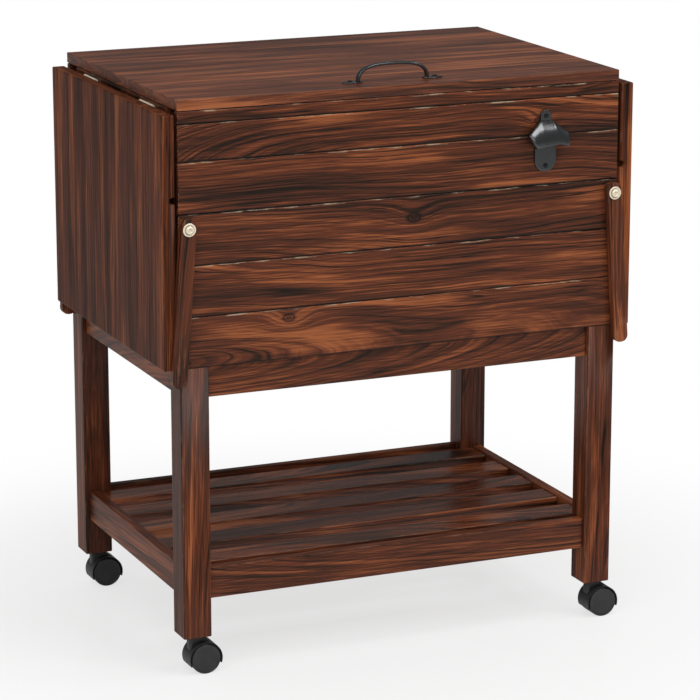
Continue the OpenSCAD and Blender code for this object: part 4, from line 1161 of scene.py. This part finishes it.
class CART_OT_opener(CartOperator, bpy.types.Operator):
    """Build the bottle opener and its screws"""

    bl_idname = "cart.opener"
    bl_label = "Bottle Opener"

    def execute(self, context):
        low, high = node_box("bottle_opener")
        centre = np.array([(low[0] + high[0]) / 2, high[1], OPENER_Z])
        shells = [opener_plate(centre), opener_hood(centre)]
        add_piece("cap_lifter", shells, finish("painted_iron"), "cart", ["bottle_opener"])
        screw_at, plate_face = 0.0345, -0.0035
        heads = [
            screw_head(centre + [0, plate_face, up], [0, -1, 0], 0.0034, 0.0016)
            for up in (-screw_at, screw_at)]
        add_piece(
            "cap_lifter_screws", heads, finish("blackened_steel"), "cart",
            ["opener_screws"])
        return {"FINISHED"}


def wheel_pair(axle):
    """Two wheels turned round the axle: a flat tread between round shoulders, and a face
    with a raised ring round a shallow dish."""
    profile = np.array([
        (0, 0.0), (5.5, 0.0), (6.0, 0.3), (6.0, 1.6), (17.6, 1.6), (18.2, 1.2), (18.6, 0.3),
        (19.6, 0.0), (20.4, 0.3), (20.9, 1.0), (21.0, 2.0), (21.0, 10.6), (20.85, 11.7), (20.4, 12.5),
        (19.7, 12.92), (19.0, 13.0), (18.4, 12.85), (18.1, 12.5), (17.6, 12.3), (16.0, 12.25),
        (9.0, 12.05), (2.0, 12.0), (0, 12.0)]) / 1000
    half_gap = 0.0035
    shells = [
        turned_shell(profile, axle + [0, side * half_gap, 0], [0, side, 0], 72)
        for side in (FRONT, REAR)]
    pin = [(0, -0.014), (0.003, -0.014), (0.003, 0.014), (0, 0.014)]
    shells.append(turned_shell(pin, axle, [0, 1, 0], 24))
    return shells


def caster_cover(stem, axle):
    """A caster's hood: a curved band carried round the axle from low behind to the front,
    a web between the wheels, and a block that slopes from the swivel to the band."""
    turn = np.radians(np.linspace(-19.0, 202.5, 66))
    ray = np.stack([np.cos(turn), np.zeros_like(turn), np.sin(turn)], axis=-1)
    across = np.broadcast_to([0.0, 1.0, 0.0], ray.shape)
    section = rounded_rectangle(
        np.array([[-0.0165, 0.0218]]), np.array([[0.0165, 0.0236]]), np.array([0.0007]), 3, 0.0006)[0]
    wide, out = section[None, :, :1], section[None, :, 1:]
    shells = [ring_shell(axle + wide * across[:, None] + out * ray[:, None])]
    web = np.concatenate([
        ray[:, [0, 2]] * 0.0224,
        [[-0.0207, -0.0088], [-0.006, -0.0088], [0.0, -0.0028], [0.0222, -0.0028]]])
    level = np.array([-0.0027, -0.0027, -0.0021, 0.0021, 0.0027, 0.0027])
    scale = np.array([0.94, 0.97, 1.0, 1.0, 0.97, 0.94])
    flat = web[None] * scale[:, None, None]
    shells.append(ring_shell(axle + np.stack([
        flat[..., 0], np.broadcast_to(level[:, None], flat.shape[:2]), flat[..., 1]], axis=-1)))
    up = np.array([0.033, 0.036, 0.039, 0.0415, 0.044, 0.0465, 0.049, 0.0502, 0.0506, 0.0506])
    draw = np.array([0, 0, 0, 0, 0, 0, 0, 0.0003, 0.0009, 0.0022])
    end = np.interp(up, [0.033, 0.0391, 0.0506], [0.0286, 0.0282, 0.0130])
    low = stem[:2] + np.stack([-0.0075 + draw, -0.0075 + draw], axis=-1)
    high = stem[:2] + np.stack([end - draw, 0.0075 - draw], axis=-1)
    outline = rounded_rectangle(low, high, np.full(len(up), 0.0036) - draw, 5, 0.0008)
    shells.append(ring_shell(raised(outline, up)))
    return shells


class CART_OT_casters(CartOperator, bpy.types.Operator):
    """Build the casters' stems, hoods and wheels"""

    bl_idname = "cart.casters"
    bl_label = "Casters"

    def execute(self, context):
        trail, wheel_radius = 0.0134, 0.021
        stems = []
        for place in PLACES:
            low, high = node_box("leg_" + place)
            stem = np.array([(low[0] + high[0]) / 2, (low[1] + high[1]) / 2, 0.0])
            axle = stem + [trail, 0, wheel_radius]
            add_piece(
                "wheel_pair_" + place, wheel_pair(axle), finish("black_nylon"), "wheels_" + place,
                ["caster_wheels_" + place])
            add_piece(
                "swivel_cover_" + place, caster_cover(stem, axle), finish("black_nylon"),
                "caster_" + place, ["caster_hood_" + place])
            stems.append(turned_shell(
                [(0, 0.043), (0.0032, 0.043), (0.0035, 0.0434), (0.0035, 0.051), (0.0092, 0.051),
                 (0.0098, 0.0514), (0.01, 0.052), (0.01, 0.0532), (0.0097, 0.0538), (0.009, 0.054),
                 (0, 0.054)], stem, UP))
        add_piece("swivel_stems", stems, finish("plated_steel"), "cart", ["caster_stems"])
        return {"FINISHED"}


def tub_moulding(middle, floor, rim):
    """The liner as one moulded sheet. Its section runs out under the floor, up the
    outside, round the rim and down the inside; each point of it is a rounded rectangle
    of its own half sizes, corner radius and height, and the corners are softened."""
    section = np.array([
        (0.240, 0.142, 0.020, floor), (0.262, 0.164, 0.028, floor), (0.262, 0.164, 0.028, rim - 0.0025),
        (0.3105, 0.2125, 0.0075, rim - 0.0025), (0.3105, 0.2125, 0.0075, rim),
        (0.2595, 0.1615, 0.0255, rim), (0.2595, 0.1615, 0.0255, floor + 0.0025),
        (0.236, 0.138, 0.016, floor + 0.0025)])
    rows = softened(section, [0.12, 0.01, 0.02, 0.3, 0.03, 0.035, 0.3], 4)
    half = rows[:, :2]
    outline = rounded_rectangle(middle[:2] - half, middle[:2] + half, rows[:, 2], 7, 0.004)
    return ring_shell(raised(outline, rows[:, 3]))


def drilled(piece, profile, centre):
    """Cuts a turned cutter out of a piece, which then has the result as its plain mesh."""
    cutter = turned_shell(profile, centre, UP)
    mesh = bpy.data.meshes.new("cutter")
    mesh.from_pydata(cutter.points.tolist(), [], cutter.faces)
    tool = bpy.data.objects.new("cutter", mesh)
    bpy.context.scene.collection.objects.link(tool)
    cut = piece.modifiers.new("hole", "BOOLEAN")
    cut.operation, cut.solver, cut.object = "DIFFERENCE", "EXACT", tool
    bpy.context.view_layer.update()
    made = bpy.data.meshes.new_from_object(piece.evaluated_get(bpy.context.evaluated_depsgraph_get()))
    piece.modifiers.clear()
    piece.data = made
    bpy.data.objects.remove(tool)


class CART_OT_tub(CartOperator, bpy.types.Operator):
    """Build the tub's liner and the lid's inner panel, and finish what lies round them"""

    bl_idname = "cart.tub"
    bl_label = "Tub and Drain"

    def execute(self, context):
        low, high = node_box("tub_liner")
        middle = (low + high) / 2
        drain = node_box("drain_tube")
        spot = (drain[0] + drain[1]) / 2 * [1, 1, 0]
        liner = add_piece(
            "tub_moulding", [tub_moulding(middle, low[2], high[2])], finish("white_liner"), "cart",
            ["tub_liner", "liner_walls", "liner_corners"])
        bore, past = 0.0092, 0.01
        bottom, top = low[2] - past, low[2] + past
        drilled(liner, [(0, bottom), (bore, bottom), (bore, top), (0, top)], spot)
        panel_low, panel_high = node_box("lid_inner_panel")
        rings, _, _ = eased_rings(panel_low, panel_high, 2, 0.0225, 0.005)
        add_piece(
            "lid_plug", [ring_shell(rings)], finish("white_liner"), "lid", ["lid_inner_panel"])
        refinish(finish("white_liner"), "drain_tube")
        refinish(finish("white_foam"), "tub_insulation")
        refinish(finish("pale_plywood"), "floor_panel")
        refinish(finish("black_nylon"), "drain_cap")
        return {"FINISHED"}


class CART_OT_stage(CartOperator, bpy.types.Operator):
    """Set up the floor, the room, the lights and the camera"""

    bl_idname = "cart.stage"
    bl_label = "Stage"

    def execute(self, context):
        stage = context.scene.cart_stage
        reach = 40.0
        mesh = bpy.data.meshes.new("studio_floor")
        mesh.from_pydata([(x * reach, y * reach, 0) for x, y in CORNER_SIGNS.tolist()], [], [(0, 1, 2, 3)])
        floor = bpy.data.objects.new("studio_floor", mesh)
        context.scene.collection.objects.link(floor)
        mesh.materials.append(floor_finish(stage))
        light_room(context.scene, stage)
        for name, place, target, size, power in (
                ("key_softbox", (-2.0, -2.8, 3.0), (0, 0, 0.4), 3.0, stage.key),
                ("overhead_softbox", (0.6, -1.6, 3.2), (0, 0, 0.4), 1.1, stage.fill),
                ("side_softbox", (1.95, -0.95, 2.95), (0.2, -0.2, 0.7), 0.5, stage.side)):
            lamp = bpy.data.lights.new(name, "AREA")
            lamp.shape, lamp.size, lamp.energy = "SQUARE", size, power
            light = bpy.data.objects.new(name, lamp)
            light.location = place
            light.rotation_euler = (Vector(target) - Vector(place)).to_track_quat("-Z", "Y").to_euler()
            light.visible_camera = False
            context.scene.collection.objects.link(light)
        lens = bpy.data.cameras.new("camera")
        lens.lens, lens.sensor_width = stage.lens, 36
        lens.clip_end = 100
        camera = bpy.data.objects.new("camera", lens)
        camera.location = stage.place
        camera.rotation_euler = (np.pi / 2 - stage.pitch, 0, -stage.heading)
        context.scene.collection.objects.link(camera)
        context.scene.camera = camera
        context.scene.view_settings.view_transform = "Standard"
        return {"FINISHED"}


def floor_finish(stage):
    """A pale floor that keeps its shadows near the cart and is plain white to the camera
    further off."""
    material, n, shader = new_material("studio_floor")
    shader["Base Color"].default_value = (*stage.floor, 1)
    shader["Roughness"].default_value = 0.14
    shader["Specular IOR Level"].default_value = 0.5
    place = n.add("ShaderNodeTexCoord").outputs["Object"]
    away = n.add("ShaderNodeVectorMath", place, operation="LENGTH").outputs["Value"]
    white = n.add("ShaderNodeEmission", (1, 1, 1, 1), 1.0).outputs[0]
    camera_ray = n.add("ShaderNodeLightPath").outputs["Is Camera Ray"]
    seen = n.times(camera_ray, n.smooth(away, 0.3, 1.0, 0.68, 1.0))
    end = next(node for node in n.tree.nodes if node.type == "OUTPUT_MATERIAL")
    principled = next(node for node in n.tree.nodes if node.type == "BSDF_PRINCIPLED")
    mixer = n.add("ShaderNodeMixShader", seen, principled.outputs[0], white)
    n.tree.links.new(mixer.outputs[0], end.inputs[0])
    return material


def light_room(scene, stage):
    """An even white room: full strength to the camera and through glass, less in
    reflections, and less again as light."""
    world = bpy.data.worlds.new("studio_room")
    world.use_nodes = True
    world.node_tree.nodes.clear()
    n = Nodes(world.node_tree)
    ray = n.add("ShaderNodeLightPath").outputs
    clear = n.math("MAXIMUM", ray["Is Camera Ray"], ray["Is Transmission Ray"])
    mirrored = n.times(ray["Is Glossy Ray"], stage.reflected - stage.ambient)
    strength = n.total(stage.ambient, mirrored, n.times(clear, 1 - stage.ambient))
    background = n.add("ShaderNodeBackground", (1, 1, 1, 1), strength)
    end = n.add("ShaderNodeOutputWorld")
    n.tree.links.new(background.outputs[0], end.inputs[0])
    scene.world = world


class CART_PT_panel(bpy.types.Panel):
    """Lists the cart's pieces in the order they are made"""

    bl_idname = "CART_PT_panel"
    bl_label = "Cooler Cart"
    bl_space_type = "VIEW_3D"
    bl_region_type = "UI"
    bl_category = "Cooler Cart"

    def draw(self, context):
        for title, settings in (
                ("Timber", context.scene.cart_wood), ("Metal", context.scene.cart_metal),
                ("Stage", context.scene.cart_stage)):
            box = self.layout.box()
            box.label(text=title)
            for name in settings.bl_rna.properties.keys():
                if name not in ("rna_type", "name"):
                    box.prop(settings, name)
        for operator in OPERATORS:
            self.layout.operator(operator.bl_idname)


OPERATORS = (
    CART_OT_wall_boards, CART_OT_lid, CART_OT_legs, CART_OT_rails, CART_OT_leaves, CART_OT_arms,
    CART_OT_hinges, CART_OT_handle, CART_OT_opener, CART_OT_casters, CART_OT_tub, CART_OT_stage,
)
SETTINGS = (("cart_wood", CartWood), ("cart_metal", CartMetal), ("cart_stage", CartStage))


def register():
    for name, group in SETTINGS:
        bpy.utils.register_class(group)
        setattr(bpy.types.Scene, name, bpy.props.PointerProperty(type=group))
    for operator in OPERATORS:
        bpy.utils.register_class(operator)
    bpy.utils.register_class(CART_PT_panel)


def unregister():
    bpy.utils.unregister_class(CART_PT_panel)
    for operator in reversed(OPERATORS):
        bpy.utils.unregister_class(operator)
    for name, group in reversed(SETTINGS):
        delattr(bpy.types.Scene, name)
        bpy.utils.unregister_class(group)


def main():
    register()
    for operator in OPERATORS:
        family, name = operator.bl_idname.split(".")
        getattr(getattr(bpy.ops, family), name)()


if __name__ == "__main__":
    main()
